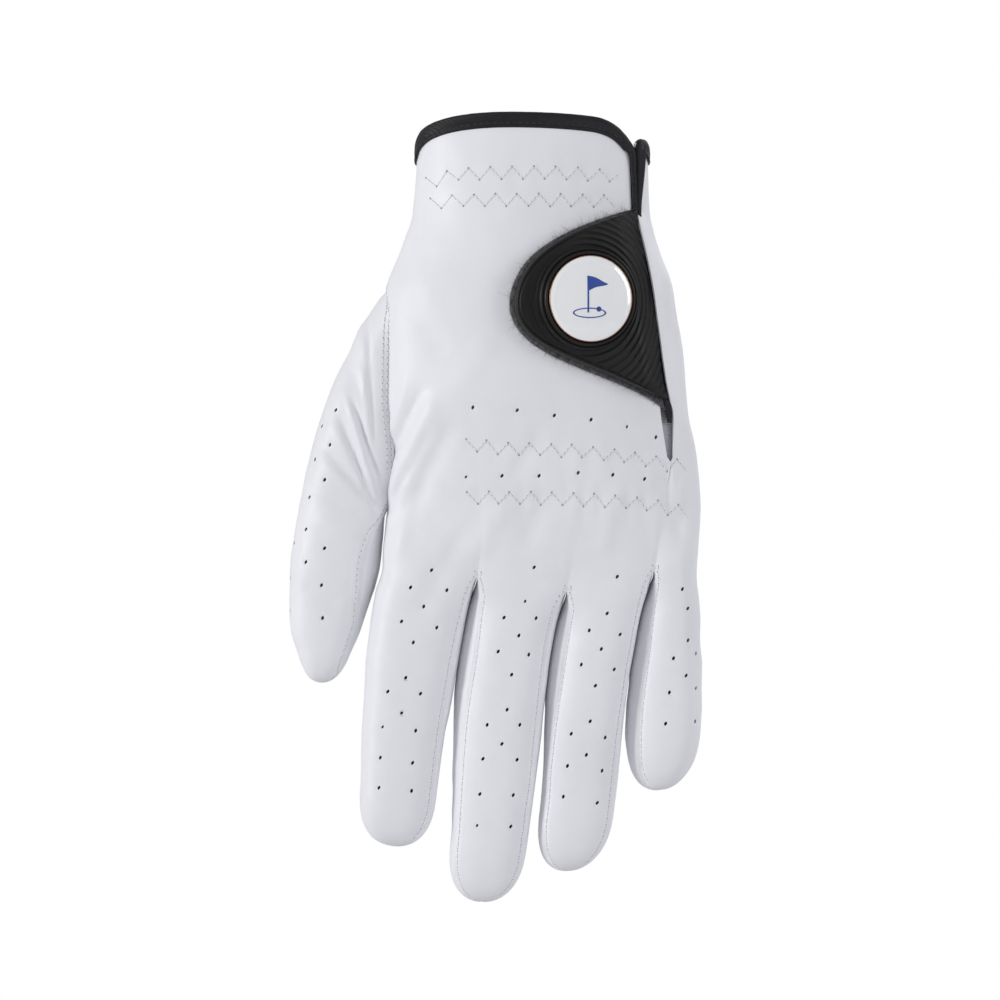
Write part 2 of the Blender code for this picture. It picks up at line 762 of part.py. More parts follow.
# ------------------------------------------------------------------ digits beyond the near joint
def strip_rows(digit, span, start, end, columns, rows, ease=1.0):
    """Points of a lengthwise strip; start and end give its ends at a section angle."""
    points = []
    for j in range(rows + 1):
        share = 1 - (1 - j / rows) ** ease
        row = []
        for i in range(columns + 1):
            along = digit[digit["search"]]
            # The angle depends on the station and the station on the angle.
            for _ in range(4):
                low, high = span(seam_angle(digit, along))
                low += gap_angle(digit, low, along)
                high -= gap_angle(digit, high, along)
                angle = low + (high - low) * i / columns
                first = start(angle)
                along = first + (end(angle) - first) * share
            across, y = digit_section(digit, angle, along)
            row.append(finger_point(across, y, along))
        points.append(row)
    return points


def digit_strips(digit, near_body, far_body, turns, near_rows, tip_ease):
    """The strips between a digit's two flex lines, and those from the far one to its tip."""

    def flex_end(which, sign):
        flex, turn = digit[("near", "far")[which]], turns[which]
        return lambda angle: notch(digit, angle, flex, turn, sign)

    for side in digit["strips"]:
        label, columns, end_inset, span = STRIPS[side]
        end = digit["tip"] - end_inset
        near = strip_rows(digit, span, flex_end(0, 1), flex_end(1, -1), columns, near_rows)
        far = strip_rows(digit, span, flex_end(1, 1), lambda angle: end, columns, 6, tip_ease)
        for body, points in ((near_body, near), (far_body, far)):
            sheet(f"{body}_{label}", points, digit_axis(digit), WHITE, body)


for finger, digit in FINGERS.items():
    digit_strips(
        digit, f"{finger}_mid", f"{finger}_tip", FINGER_TURNS, near_rows=2, tip_ease=1.5
    )
digit_strips(THUMB, "thumb_base", "thumb_tip", THUMB_TURNS, near_rows=3, tip_ease=1.4)


# ------------------------------------------------------------------ knuckles and finger roots
def knuckle_section(digit, angle, along):
    """Between the hand's section at the knuckle line and the finger's own."""
    across, y = digit_section(digit, angle, along)
    sine = math.sin(angle)
    if abs(sine) < 0.7 and (across < -38 or across > 47):
        return across, y  # the outer sides of the index and little fingers
    offset = abs(across - 4.2) / (46.5 - SHEET)
    height = max(0.05, 1 - offset**KNUCKLE_ROUND) ** (1 / KNUCKLE_ROUND)
    hand_y = (-12.6 if sine > 0 else 11.4) * height
    blend = min(1.0, max(0.0, (along - KNUCKLE_ALONG) / KNUCKLE_BLEND))
    blend = blend * blend * (3 - 2 * blend)
    return across, y + (hand_y - y) * (1 - blend) * abs(sine) ** 0.35


def knuckle_along(digit, angle, dorsal, row):
    """Station of a row: three near the knuckle line, then even steps to the near flex line."""
    top = KNUCKLE_ALONG + GAP / 2
    if not dorsal:
        _, y = knuckle_section(digit, angle, KNUCKLE_ALONG)
        top += max(0.0, y + SHEET) * math.tan(KNUCKLE_FINGER_CUT)
    crotch = max(top + 2.4, KNUCKLE_CROTCH)
    if row < 3:
        return (top, max(top + 1.2, KNUCKLE_CROTCH - 4), crotch)[row]
    end = notch(digit, angle, digit["near"], FINGER_TURNS[0], -1)
    return crotch + (end - crotch) * (row - 2) / 3


def knuckle_sheet(name, dorsal):
    """The hide from the knuckle line to the near flex lines, slit between the fingers."""
    bm = bmesh.new()
    digits = list(FINGERS.values())
    seam = math.radians(SIDE_HALF_ANGLE)
    direction = -1 if dorsal else 1
    shared = []  # the top two vertices on the previous finger's right edge
    for n, digit in enumerate(digits):
        last = n == len(digits) - 1
        if dorsal:
            columns, start, stop = 4, PI - seam, seam
        else:
            # The palm wraps the outer sides of the index and little fingers.
            columns = 6 if n == 0 or last else 4
            start = PI - seam if n == 0 else PI + seam
            stop = 2 * PI + seam if last else 2 * PI - seam
        before, shared = shared, []
        grid = []
        for j in range(6):
            row = []
            for i in range(columns + 1):
                if i == 0 and n > 0 and j <= 1:
                    row.append(before[j])
                    continue
                angle = start + (stop - start) * i / columns
                along = knuckle_along(digit, angle, dorsal, j)
                joined = i == columns and not last and j <= 1
                if not joined:
                    angle = off_seam(digit, angle, along, i, columns, direction)
                across, y = knuckle_section(digit, angle, along)
                if joined:
                    mirrored = (PI if dorsal else 3 * PI) - angle
                    across2, y2 = knuckle_section(digits[n + 1], mirrored, along)
                    across, y = (across + across2) / 2, (y + y2) / 2
                row.append(bm.verts.new(finger_point(across, y, along)))
                if joined:
                    shared.append(row[-1])
            grid.append(row)
        skin(bm, grid)
    face_out(bm, lambda p: (p[0], 0.0, p[2]))
    thicken(add(name, to_mesh(bm, name), WHITE, "knuckles"), SHEET)


def fourchette(left_name, right_name, crotch):
    """The forked strip between two fingers: down one side, round the crotch, down the other."""
    left_digit, right_digit = FINGERS[left_name], FINGERS[right_name]
    seam = math.radians(SIDE_HALF_ANGLE)
    turn, last, columns = 5, 10, 2  # the row at the crotch, the last row, the columns
    points = []
    for k in range(last + 1):
        row = []
        for i in range(columns + 1):
            swing = -seam + 2 * seam * i / columns
            if k < turn:
                digit, angle, direction = left_digit, swing, 1
            else:
                digit, angle, direction = right_digit, PI - swing, -1
            angle = off_seam(digit, angle, 30, i, columns, direction)
            if k == turn:
                along = crotch - 0.2
                across1, y1 = digit_section(left_digit, PI - angle, crotch)
                across2, y2 = digit_section(right_digit, angle, crotch)
                across, y = (across1 + across2) / 2, (y1 + y2) / 2
            else:
                end = notch(digit, angle, digit["near"], FINGER_TURNS[0], -1)
                along = end + (crotch + 1.0 - end) * min(k, last - k) / (turn - 1)
                across, y = digit_section(digit, angle, along)
            row.append(finger_point(across, y, along))
        points.append(row)

    def inside(point):
        across, along = to_finger(point)
        middle = (interp(left_digit["right"], along) + interp(right_digit["left"], along)) / 2
        return finger_point(across - 8 if across < middle else across + 8, point[1], along)

    name = f"fourchette_{left_name}_{right_name}"
    sheet(name, points, inside, ELASTIC, "knuckles", thickness=0.6)


knuckle_sheet("knuckle_back", dorsal=True)
knuckle_sheet("knuckle_palm", dorsal=False)
fourchette("index", "middle", crotch=29.5)
fourchette("middle", "ring", crotch=30.5)
fourchette("ring", "little", crotch=24.0)


# ------------------------------------------------------------------ thumb root
def thumb_root(columns=6, rows=6):
    """From the back's seam round the ball of the thumb to the palm's seam."""
    top = -44.0  # along the finger frame
    seam_across = -44.0  # where the seam columns' heights are taken
    first, last = math.radians(78), math.radians(282)

    def end(angle):
        return notch(THUMB, angle, THUMB["near"], THUMB_TURNS[0], -1)

    palm_cut = end(last) - end(PI / 2)
    points = []
    for j in range(rows + 1):
        share = j / rows
        seam_along = top + (THUMB["near"] - GAP / 2 - top) * share
        z = finger_point(seam_across, 0, seam_along)[2]
        row = [(*hand_section(back_seam_angle(z) + 0.045, z), z)]
        for i in range(columns + 1):
            angle = first + (last - first) * i / columns
            along = top + (end(angle) - top) * share
            across, y = digit_section(THUMB, angle, along)
            row.append(finger_point(across, y, along))
        x, y = hand_section(palm_seam_angle(z) - 0.1, z)
        row.append((x, y, z - palm_cut * share))
        points.append(row)
    sheet("thumb_root", points, lambda p: (-46.0, 2.0, p[2]), WHITE)


thumb_root()
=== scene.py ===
# A white leather golf glove with a black closure tab and a round marker, fingers down.
# X runs from the thumb (-X, "left") to the little finger (+X, "right"), -Y is the back of the
# hand, +Y the palm, and the cuff is at the top. Lengths are millimetres until a mesh is made.
# The fingers have their own leaning frame: "across" runs over them, "along" to their tips.
import json
import math
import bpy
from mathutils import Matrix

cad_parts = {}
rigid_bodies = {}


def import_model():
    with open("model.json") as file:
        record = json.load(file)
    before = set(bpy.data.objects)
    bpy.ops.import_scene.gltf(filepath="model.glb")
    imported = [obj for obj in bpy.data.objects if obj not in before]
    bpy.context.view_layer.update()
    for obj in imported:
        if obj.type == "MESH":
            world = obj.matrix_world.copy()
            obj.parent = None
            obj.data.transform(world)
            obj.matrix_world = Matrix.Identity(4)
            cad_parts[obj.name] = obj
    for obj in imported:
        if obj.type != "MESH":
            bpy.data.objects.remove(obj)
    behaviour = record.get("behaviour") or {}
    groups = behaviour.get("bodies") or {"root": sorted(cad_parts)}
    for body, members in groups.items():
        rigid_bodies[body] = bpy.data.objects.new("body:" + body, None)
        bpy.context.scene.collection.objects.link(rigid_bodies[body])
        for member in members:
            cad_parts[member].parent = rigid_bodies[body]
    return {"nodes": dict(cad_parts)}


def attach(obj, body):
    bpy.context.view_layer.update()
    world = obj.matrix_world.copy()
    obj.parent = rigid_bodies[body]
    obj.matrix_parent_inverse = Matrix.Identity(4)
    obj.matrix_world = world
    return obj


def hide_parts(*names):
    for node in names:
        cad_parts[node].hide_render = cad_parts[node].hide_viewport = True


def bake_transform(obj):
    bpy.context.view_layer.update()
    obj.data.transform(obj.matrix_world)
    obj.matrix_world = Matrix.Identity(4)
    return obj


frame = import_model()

from types import SimpleNamespace as Record

import bmesh
import bpy
import numpy as np
from mathutils import Vector
from mathutils.bvhtree import BVHTree

for old in [o for o in bpy.data.objects if o.name in ("Cube", "Light", "Camera")]:
    bpy.data.objects.remove(old, do_unlink=True)
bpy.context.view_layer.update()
rng = np.random.default_rng(7)
PI = math.pi
MM = 0.001
SHEET = 0.8  # the hide's outer face over the surface that offsets are counted from
SKIN = 0.66  # the hide's thickness
LEAN = math.radians(7.0)
COS_LEAN, SIN_LEAN = math.cos(LEAN), math.sin(LEAN)
FINGER_Z = -101.45  # where the fingers' frame starts, at x = 0


def curve(*stations):
    """A smooth function through (position, value) stations, held level outside them."""
    at, value = np.array(sorted(stations), float).T
    slope = np.diff(value) / np.diff(at)
    tangent = np.zeros(len(at))
    tangent[0], tangent[-1] = slope[0], slope[-1]
    for k, (before, after) in enumerate(zip(slope, slope[1:]), 1):
        if before * after > 0:
            tangent[k] = 2 * before * after / (before + after)

    def value_at(place):
        place = np.clip(np.asarray(place, float), at[0], at[-1])
        i = np.clip(np.searchsorted(at, place, side="right") - 1, 0, len(at) - 2)
        width = at[i + 1] - at[i]
        u = (place - at[i]) / width
        return (
            (1 + 2 * u) * (1 - u) ** 2 * value[i]
            + u * (1 - u) ** 2 * width * tangent[i]
            + u * u * (3 - 2 * u) * value[i + 1]
            + u * u * (u - 1) * width * tangent[i + 1]
        )

    return value_at


def signed_power(value, power):
    return np.sign(value) * np.abs(value) ** power


def smooth(value):
    """0 below 0, 1 above 1, and a smooth rise between."""
    value = np.clip(value, 0.0, 1.0)
    return value * value * (3 - 2 * value)


def bell(distance, width):
    return np.exp(-((distance / width) ** 2))


def run_of(line):
    """Length run along the last row of points."""
    lengths = np.linalg.norm(np.diff(line, axis=-2), axis=-1)
    return np.concatenate((np.zeros(line.shape[:-2] + (1,)), np.cumsum(lengths, axis=-1)), -1)


def at_run(values, run, at):
    return np.stack([np.interp(at, run, column) for column in values.T], -1)


def unit(vector):
    return vector / max(1e-9, np.linalg.norm(vector))


def to_xz(across, along):
    return across * COS_LEAN - along * SIN_LEAN, FINGER_Z - across * SIN_LEAN - along * COS_LEAN


def to_fingers(x, z):
    down = FINGER_Z - z
    return x * COS_LEAN + down * SIN_LEAN, -x * SIN_LEAN + down * COS_LEAN


def line_z(x, along):
    """z at x on the line of one "along"."""
    return FINGER_Z - (along + x * SIN_LEAN) / COS_LEAN


# ---------------------------------------------------------------- the hand's section
# Stations of (z, x), or (z, rise) for the last two.
HAND_LEFT = curve(
    (6, -33.4), (-12, -33.8), (-24, -34.8), (-35, -38.3), (-47, -42.9), (-58, -44.4),
    (-78, -44.5), (-93, -43.0), (-104, -42.3), (-116, -41.8))
HAND_RIGHT = curve(
    (6, 33.0), (-12, 33.4), (-24, 34.0), (-30, 35.2), (-41, 38.6), (-53, 41.2),
    (-64, 43.4), (-82, 45.0), (-93, 47.2), (-105, 48.4), (-120, 49.0))
SLIT = curve(
    (6, 28.6), (-24, 29.4), (-30, 31.2), (-42, 33.9), (-52, 35.7), (-64, 37.7),
    (-83, 39.1), (-103, 40.0), (-118, 40.4))
BACK_RISE = curve((6, 14.5), (-24, 17.0), (-50, 18.5), (-80, 17.0), (-100, 14.5), (-112, 12.8))
PALM_RISE = curve((6, 13.5), (-24, 14.4), (-50, 15.2), (-80, 15.2), (-100, 13.6), (-112, 12.0))
PALM_FLAT = 13.6  # the palm goes flat at this rise
BACK_APEX = 0.40  # the highest line's share of the width
ROUND = 2.05  # the section's superellipse power


def apex_at(z):
    left = HAND_LEFT(z)
    return left + BACK_APEX * (HAND_RIGHT(z) - left)


def half_width(rightward, apex, z, off):
    return np.where(rightward, HAND_RIGHT(z) - apex, apex - HAND_LEFT(z)) - SHEET + off


def section(phi, z, off=SHEET):
    """x and y of the hand: phi 0 is its right side, 90 the back, 180 its left, 270 the palm."""
    apex = apex_at(z)
    cosine, sine = np.cos(phi), np.sin(phi)
    x = apex + half_width(cosine > 0, apex, z, off) * signed_power(cosine, 2 / ROUND)
    back = -(BACK_RISE(z) - SHEET + off) * signed_power(np.maximum(sine, 0), 2 / ROUND)
    palm = (PALM_RISE(z) - SHEET + off) * signed_power(np.maximum(-sine, 0), 2 / ROUND)
    return x, np.where(sine >= 0, back, np.minimum(palm, PALM_FLAT - SHEET + off))


def back_y(x, z, off=SHEET):
    apex = apex_at(z)
    share = np.minimum(0.999, np.abs(x - apex) / half_width(x > apex, apex, z, off))
    return -(BACK_RISE(z) - SHEET + off) * (1 - share**ROUND) ** (1 / ROUND)


def phi_at(x, z, off=SHEET):
    apex = apex_at(z)
    share = np.clip((x - apex) / half_width(x > apex, apex, z, off), -0.99999, 0.99999)
    return np.arccos(signed_power(share, ROUND / 2))


def cuff_z(phi):
    sine = np.sin(phi)
    back = -6.0 + 10.8 * sine / np.sqrt(np.maximum(sine, 0) + 0.12)
    return np.where(sine > 0, back, -6.0 + 1.5 * sine)


# Rounded corners beside the slit at the cuff: reach, fall and power, by column.
CUFF_CORNERS = {"ring": (11.0, 6.2, 2.6), "little": (5.0, 3.4, 2.0)}


def corner_fall(finger_name, distance):
    reach, most, power = CUFF_CORNERS[finger_name]
    return most * (1 - np.clip(distance / reach, 0, 1)) ** power


# ---------------------------------------------------------------- the fingers
# edges and seams: left and right lines as (along, across) stations, seams on the back.
# depth: half thickness along the finger. y: the finger's middle. The end is rounded from
# round_from to tip with end_powers, and skewed by skew. pieces_at: where the finger's and the
# fingertip's pieces begin. joints, joint_across and joint_reach: where the finger bends.
FINGERS = (
    Record(
        name="index",
        edges=(
            curve((-10, -44.0), (0, -42.6), (11, -41.6), (24, -40.8), (31, -40.2), (38, -41.5),
                  (50, -42), (55, -42), (67, -41.1), (78.5, -40.3), (92, -38.9), (99, -38.5),
                  (110, -38.2)),
            curve((30, -12.7), (40.6, -14.25), (55.3, -15.1), (66.2, -15.55), (70, -15.8),
                  (76.5, -16.4), (91, -16.6), (99.9, -16.6), (110, -16.6))),
        seams=(
            None,
            curve((30, -13.6), (37, -15.0), (48.8, -16.6), (56.3, -17.1), (64.7, -17.55),
                  (72, -17.9), (84, -17.95), (99, -17.9), (110, -18))),
        depth=curve((-10, 13.2), (10, 11.0), (30, 9.6), (54, 9.1), (79, 8.4), (100, 7.9)),
        y=0.0, tip=110.2, round_from=95.0, end_powers=(2.5, 0.44), skew=0.0,
        pieces_at=(37, 67), joint_across=-29.0, joints=(54.0, 79.0), joint_reach=(10.0, 8.0)),
    Record(
        name="middle",
        edges=(
            curve((30, -12.5), (40.6, -14.05), (55.3, -14.9), (65.2, -14.9), (70, -14.6),
                  (75.3, -14.0), (81, -13.4), (87, -12.9), (92.6, -12.1), (98.4, -11.6),
                  (104, -11.0), (123, -10.8)),
            curve((31, 13.55), (42.4, 11.65), (54, 11.15), (66.4, 11.2), (74, 11.45),
                  (84, 11.4), (104, 11.2), (110, 11.1), (123, 11.0))),
        seams=(
            curve((30, -11.9), (36, -10.6), (48, -10.3), (60, -10.6), (68.5, -10.9),
                  (79, -10.7), (89, -10.2), (98, -9.7), (106, -9.3), (123, -9.1)),
            curve((31, 12.2), (39.6, 10.5), (48, 9.7), (69, 9.7), (81, 9.9), (89, 10.1),
                  (96, 10.0), (123, 10.0))),
        depth=curve((-10, 14.2), (10, 11.6), (30, 9.8), (58, 9.3), (87, 8.5), (112, 8.0)),
        y=0.0, tip=123.2, round_from=107.0, end_powers=(2.4, 0.45), skew=0.8,
        pieces_at=(38, 74), joint_across=-1.5, joints=(58.0, 87.0), joint_reach=(10.5, 8.0)),
    Record(
        name="ring",
        edges=(
            curve((31, 13.75), (42.4, 11.87), (54, 11.37), (62.8, 11.45), (66.3, 11.65),
                  (72, 12.07), (78, 12.7), (84, 13.2), (95, 13.6), (101, 13.6), (111, 13.8)),
            curve((22, 37.9), (27.6, 37.0), (33, 35.95), (38.3, 35.4), (45, 35.05), (54, 34.55),
                  (63, 34.5), (70, 34.6), (77.5, 34.8), (85, 35.0), (92, 35.0), (99.4, 34.8),
                  (111, 34.6))),
        seams=(
            curve((31, 14.3), (35, 15.4), (46, 15.2), (54, 15.0), (68, 14.8), (83, 14.9),
                  (91.5, 15.4), (103, 15.3), (111, 15.4)),
            curve((22, 37.2), (28, 35.9), (36.5, 34.8), (45, 34.2), (54, 33.8), (70, 33.5),
                  (92, 33.9), (111, 33.5))),
        depth=curve((-10, 13.2), (10, 11.0), (30, 9.3), (52, 8.9), (79, 8.2), (100, 7.7)),
        y=0.4, tip=111.2, round_from=95.0, end_powers=(2.4, 0.45), skew=2.1,
        pieces_at=(37, 66), joint_across=23.5, joints=(52.0, 79.0), joint_reach=(10.0, 8.0)),
    Record(
        name="little",
        edges=(
            curve((22, 38.15), (28, 37.15), (33, 36.17), (38.3, 35.62), (45, 35.27), (54, 34.8),
                  (60, 34.8), (66, 35.15), (70, 35.5), (74, 36.1), (85, 36.8)),
            curve((-10, 47.6), (3.2, 49.0), (9, 49.3), (15, 50.0), (21, 50.4), (28.7, 52.0),
                  (34, 53.0), (40, 53.6), (46, 54.9), (54.5, 55.9), (60, 56.7), (67.5, 57.1),
                  (85, 57.2))),
        seams=(
            curve((22, 38.9), (27, 39.0), (35, 39.1), (45, 39.2), (62, 39.1), (68, 39.5),
                  (77, 40.0), (85, 40.2)),
            None),
        depth=curve((-10, 10.5), (8, 9.6), (21, 9.1), (39, 8.3), (59, 7.9), (74, 7.5)),
        y=1.0, tip=84.9, round_from=68.0, end_powers=(2.3, 0.46), skew=1.5,
        pieces_at=(28, 48), joint_across=45.0, joints=(39.5, 59.0), joint_reach=(8.0, 7.0)),
)
# The three gaps between fingers, left to right: where each begins, and the line above it.
CROTCHES = (30.0, 31.0, 22.0)
BOUNDS = (
    curve((-10, -12.3), (30, -12.6)),
    curve((-10, 13.4), (31, 13.7)),
    curve((-10, 38.8), (22, 38.05)))
GAP_PIECES = ("fourchette_index_middle", "fourchette_middle_ring", "fourchette_ring_little")
LAP_ENDS = (62, 61, 50)  # how far along the fingers lap
PALM_SEAM_INSET = 1.7
SEAM_REACH = 0.86  # share of the arc's half width at which a seam cuts it
FINGER_POWER = 2.6  # superellipse power of a finger's section
END_POWER = 2.6


def gaps_of(n):
    """(side, gap) of finger n's sides that face another finger; side 0 is left, 1 right."""
    return [(side, n - 1 + side) for side in (0, 1) if 0 <= n - 1 + side < 3]


def finger_lines(n, along):
    """(left, right) of the outline, the back seams and the palm seams, then the depth."""
    finger = FINGERS[n]
    edges = [edge(along) for edge in finger.edges]
    back, palm = list(edges), list(edges)
    for side, gap in gaps_of(n):
        crotch = CROTCHES[gap]
        edge = np.where(along < crotch, BOUNDS[gap](along), edges[side])
        opening = np.sqrt(np.clip((along - crotch) / 5.0, 0, 1))
        beyond = np.maximum(along, crotch)
        edges[side] = edge
        back[side] = edge + (finger.seams[side](beyond) - finger.edges[side](beyond)) * opening
        palm[side] = edge + (1 - 2 * side) * PALM_SEAM_INSET * opening
    end = np.clip((along - finger.round_from) / (finger.tip - finger.round_from), 0, 1)
    inner_power, outer_power = finger.end_powers
    narrow = np.maximum(0.02, (1 - end**inner_power) ** outer_power)
    middle = (edges[0] + edges[1]) / 2
    edges, back, palm = (
        [middle + (line - middle) * narrow for line in pair] for pair in (edges, back, palm))
    depth = finger.depth(along) * np.maximum(0.02, (1 - end**END_POWER) ** 0.5)
    return edges, back, palm, depth


def skewed(n, across, along):
    """"along" with the finger's end moved on at its left side and back at its right side."""
    finger = FINGERS[n]
    left, right = (edge(along) for edge in finger.edges)
    share = smooth((along - finger.round_from + 7) / (finger.tip - finger.round_from + 7))
    lean = np.clip(((left + right) / 2 - across) / ((right - left) / 2), -1, 1)
    return along + finger.skew * lean * share


def edge_match(n, side, gap, along):
    """What an arc's end gains in depth and in y to meet its neighbour above the crotch."""
    neighbour = gap + side
    seam_share = (1 - SEAM_REACH**FINGER_POWER) ** (1 / FINGER_POWER)
    own, other = (finger_lines(k, along)[3] * seam_share for k in (n, neighbour))
    past = along - CROTCHES[gap]
    shared = 1 - smooth(past / 8.0)
    lift = 0.25 * (1 - smooth(past / 13.0))
    wanted = own + ((own + other) / 2 - own) * shared + (own + other) / 2 / 0.648 * lift
    return wanted - own, (FINGERS[neighbour].y - FINGERS[n].y) / 2 * shared


def finger_arc(n, place, along, palm):
    """Across and y of finger n's back or palm arc at place (0 left, 1 right)."""
    _, back_seams, palm_seams, depth = finger_lines(n, along)
    left, right = palm_seams if palm else back_seams
    left_reach = 1.0 if n == 0 else SEAM_REACH
    right_reach = 1.0 if n == 3 else SEAM_REACH
    first = math.acos(left_reach ** (FINGER_POWER / 2))
    last = math.acos(right_reach ** (FINGER_POWER / 2))
    angle = first + (PI - first - last) * place
    cosine = np.cos(angle)
    out = np.abs(cosine) ** (2 / FINGER_POWER)
    share = np.where(cosine > 0, -out / left_reach, out / right_reach)
    across = (left + right) / 2 + (right - left) / 2 * share
    y = depth * np.abs(np.sin(angle)) ** (2 / FINGER_POWER)
    shift = FINGERS[n].y
    for side, gap in gaps_of(n):
        more, more_shift = edge_match(n, side, gap, along)
        near = (1 - place, place)[side]
        y = y + more * near**4
        shift = shift + more_shift * near**3
    return across, (y if palm else -y) + shift


# ---------------------------------------------------------------- the hand's four columns
# Angles of the thumb's two seams in degrees, by z.
SEAM_PHI = curve(
    (6, 180), (-42, 180), (-53, 161.5), (-72, 163), (-92, 165.5), (-101, 170), (-108, 180),
    (-130, 180))
PALM_PHI = curve(
    (6, 180), (-42, 180), (-53, 206), (-92, 206), (-101, 196), (-108, 180), (-130, 180))
# x of the first two boundaries between columns, by z; the third is the slit.
COLUMN_X = (
    curve((6, -9.0), (-50, -11.5), (-90, -11.0)),
    curve((6, 11.5), (-50, 14.0), (-90, 14.6)))
# Distances of the slit's two edges from its line, by z.
SLIT_BACK = curve(
    (6, 0.95), (-22, 0.95), (-60, 1.3), (-80, 2.3), (-90, 1.5), (-103, 0.0))
SLIT_FLAP = curve(
    (6, 0.85), (-10, 0.65), (-20, 0.45), (-25, 0.75), (-30, 0.15), (-45, 0.1), (-63, -0.5),
    (-73, 0.05), (-77, 0.6), (-82, 1.5), (-90, 1.1), (-103, 0.0))
FRAME_START = -10.0  # "along" where the finger frame's rows take over
HAND_ROWS = 74  # rows from the cuff to there
BLEND_END = 34  # "along" past which nothing follows the hand's section


def hand_points(n, place, palm, row=None, along=None):
    """The hand's surface in finger n's column at place.

    row 0 to 1 runs from the cuff to FRAME_START; without it the points lie at along.
    """
    z = np.full(place.shape, -55.0)

    def boundary_phi(side):
        gap = n - 1 + side
        if gap < 0:
            return np.radians((PALM_PHI if palm else SEAM_PHI)(z))
        if gap > 2:
            return np.full_like(z, 2 * PI if palm else 0.0)
        if row is None:
            x = to_xz(BOUNDS[gap](along), along)[0]
        elif gap < 2:
            x = COLUMN_X[gap](z)
        elif palm:
            x = SLIT(z)
        else:
            x = SLIT(z) + (-SLIT_BACK(z) if side else SLIT_FLAP(z))
        return 2 * PI - phi_at(x, z) if palm else phi_at(x, z)

    # The angle depends on z and z on the angle, so they are worked out in turn.
    for _ in range(9):
        left, right = boundary_phi(0), boundary_phi(1)
        phi = left + (right - left) * place
        x, _y = section(phi, z)
        if row is None:
            z = line_z(x, along)
        else:
            top = cuff_z(phi) - 1.0
            z = top + (line_z(x, FRAME_START) - top) * row
    return np.stack((*section(phi, z), z), -1)


# ---------------------------------------------------------------- one surface for the glove
class Surface:
    """All the hide's points and faces, each face with its piece's name."""

    def __init__(self):
        self.points = np.zeros((0, 3))
        self.quads, self.quad_names = [], []
        self.tris, self.tri_names = [], []

    def put(self, grid):
        """Adds points and returns their vertex numbers."""
        first = len(self.points)
        self.points = np.concatenate((self.points, grid.reshape(-1, 3)))
        return np.arange(first, len(self.points)).reshape(grid.shape[:-1])

    def add_quads(self, grid, flip, piece_of):
        idx = grid.idx
        a, b, c, d = idx[:-1, :-1], idx[:-1, 1:], idx[1:, 1:], idx[1:, :-1]
        quads = np.stack((a, d, c, b) if flip else (a, b, c, d), axis=-1)
        self.quads.append(quads.reshape(-1, 4))
        for middle in (grid.along[:-1] + grid.along[1:]) / 2:
            self.quad_names.extend([piece_of(middle)] * quads.shape[1])

    def cap(self, loop, piece, flip):
        """Closes a tip with a fan of triangles."""
        middle = self.points[loop].mean(0) + np.array([-SIN_LEAN, 0, -COS_LEAN]) * 0.05
        centre = self.put(middle[None])[0]
        for a, b in zip(loop, loop[1:] + loop[:1]):
            self.tris.append((b, a, centre) if flip else (a, b, centre))
            self.tri_names.append(piece)


surface = Surface()


def spaced(left_seam, right_seam, middle_count):
    """Places across a column from 0 to 1, close together beside a seam."""
    near = [0, 0.010, 0.020, 0.031, 0.044, 0.060, 0.082, 0.112]
    plain = list(np.linspace(0, 0.12, 6))
    left = near if left_seam else plain
    right = [1 - v for v in (near if right_seam else plain)][::-1]
    return np.array(left + list(np.linspace(0.15, 0.85, middle_count)) + right)


def end_rows(round_from, tip):
    angles = np.linspace(0, PI / 2, 20)[1:-1]
    return [round_from + (tip - round_from) * math.sin(v) for v in angles] + [tip - 0.02]


def row_at(along):
    return HAND_ROWS + int(round(along - FRAME_START))


def finger_piece(finger, along, kind):
    finger_from, tip_from = finger.pieces_at
    if along < finger_from:
        return kind
    return f"{finger.name}_finger" if along < tip_from else f"{finger.name}_fingertip"


def hand_kind(palm):
    return "hand_palm" if palm else "hand_back"


def thumb_piece(along):
    return "thumb_root_hide" if along < 18 else "thumb_end_hide"


def column_grid(n, palm):
    """Finger n's back or palm, from the cuff to the fingertip."""
    finger = FINGERS[n]
    places = spaced(n > 0, n < 3, 20 if palm else 26)
    flat = list(np.arange(FRAME_START, int(finger.round_from) + 1, 1.0))
    rows = np.array(flat + end_rows(finger.round_from, finger.tip))
    place, row = np.meshgrid(places, np.linspace(0, 1, HAND_ROWS + 1))
    upper = hand_points(n, place, palm, row=row)
    place, along = np.meshgrid(places, rows)
    across, y = finger_arc(n, place, along, palm)
    x, z = to_xz(across, skewed(n, across, along))
    hand = hand_points(n, place, palm, along=np.minimum(along, BLEND_END))
    # The hand's section turns into the finger's arc over the last 21 mm before the crotch.
    left = CROTCHES[n - 1] if n > 0 else CROTCHES[0] - 3
    right = CROTCHES[n] if n < 3 else CROTCHES[2] - 4
    share = smooth((along - (left + (right - left) * place) + 21) / 21)[..., None]
    lower = hand * (1 - share) + np.stack((x, y, z), -1) * share
    idx = surface.put(np.concatenate((upper[:-1], lower)))
    # The hand's rows all count as -99 along.
    return Record(idx=idx, along=np.concatenate((np.full(HAND_ROWS, -99.0), rows)), places=places)


GRIDS = {(n, palm): column_grid(n, palm) for palm in (False, True) for n in range(4)}

# Neighbouring columns share their boundary above the crotch; at the back the slit stays open.
for palm in (False, True):
    for n in range(3):
        idx, next_idx = GRIDS[n, palm].idx, GRIDS[n + 1, palm].idx
        last = row_at(CROTCHES[n])
        first = 0
        if n == 2 and not palm:
            first = int(np.argmax(surface.points[idx[:, -1], 2] < -102.5))
        next_idx[first : last + 1, 0] = idx[first : last + 1, -1]
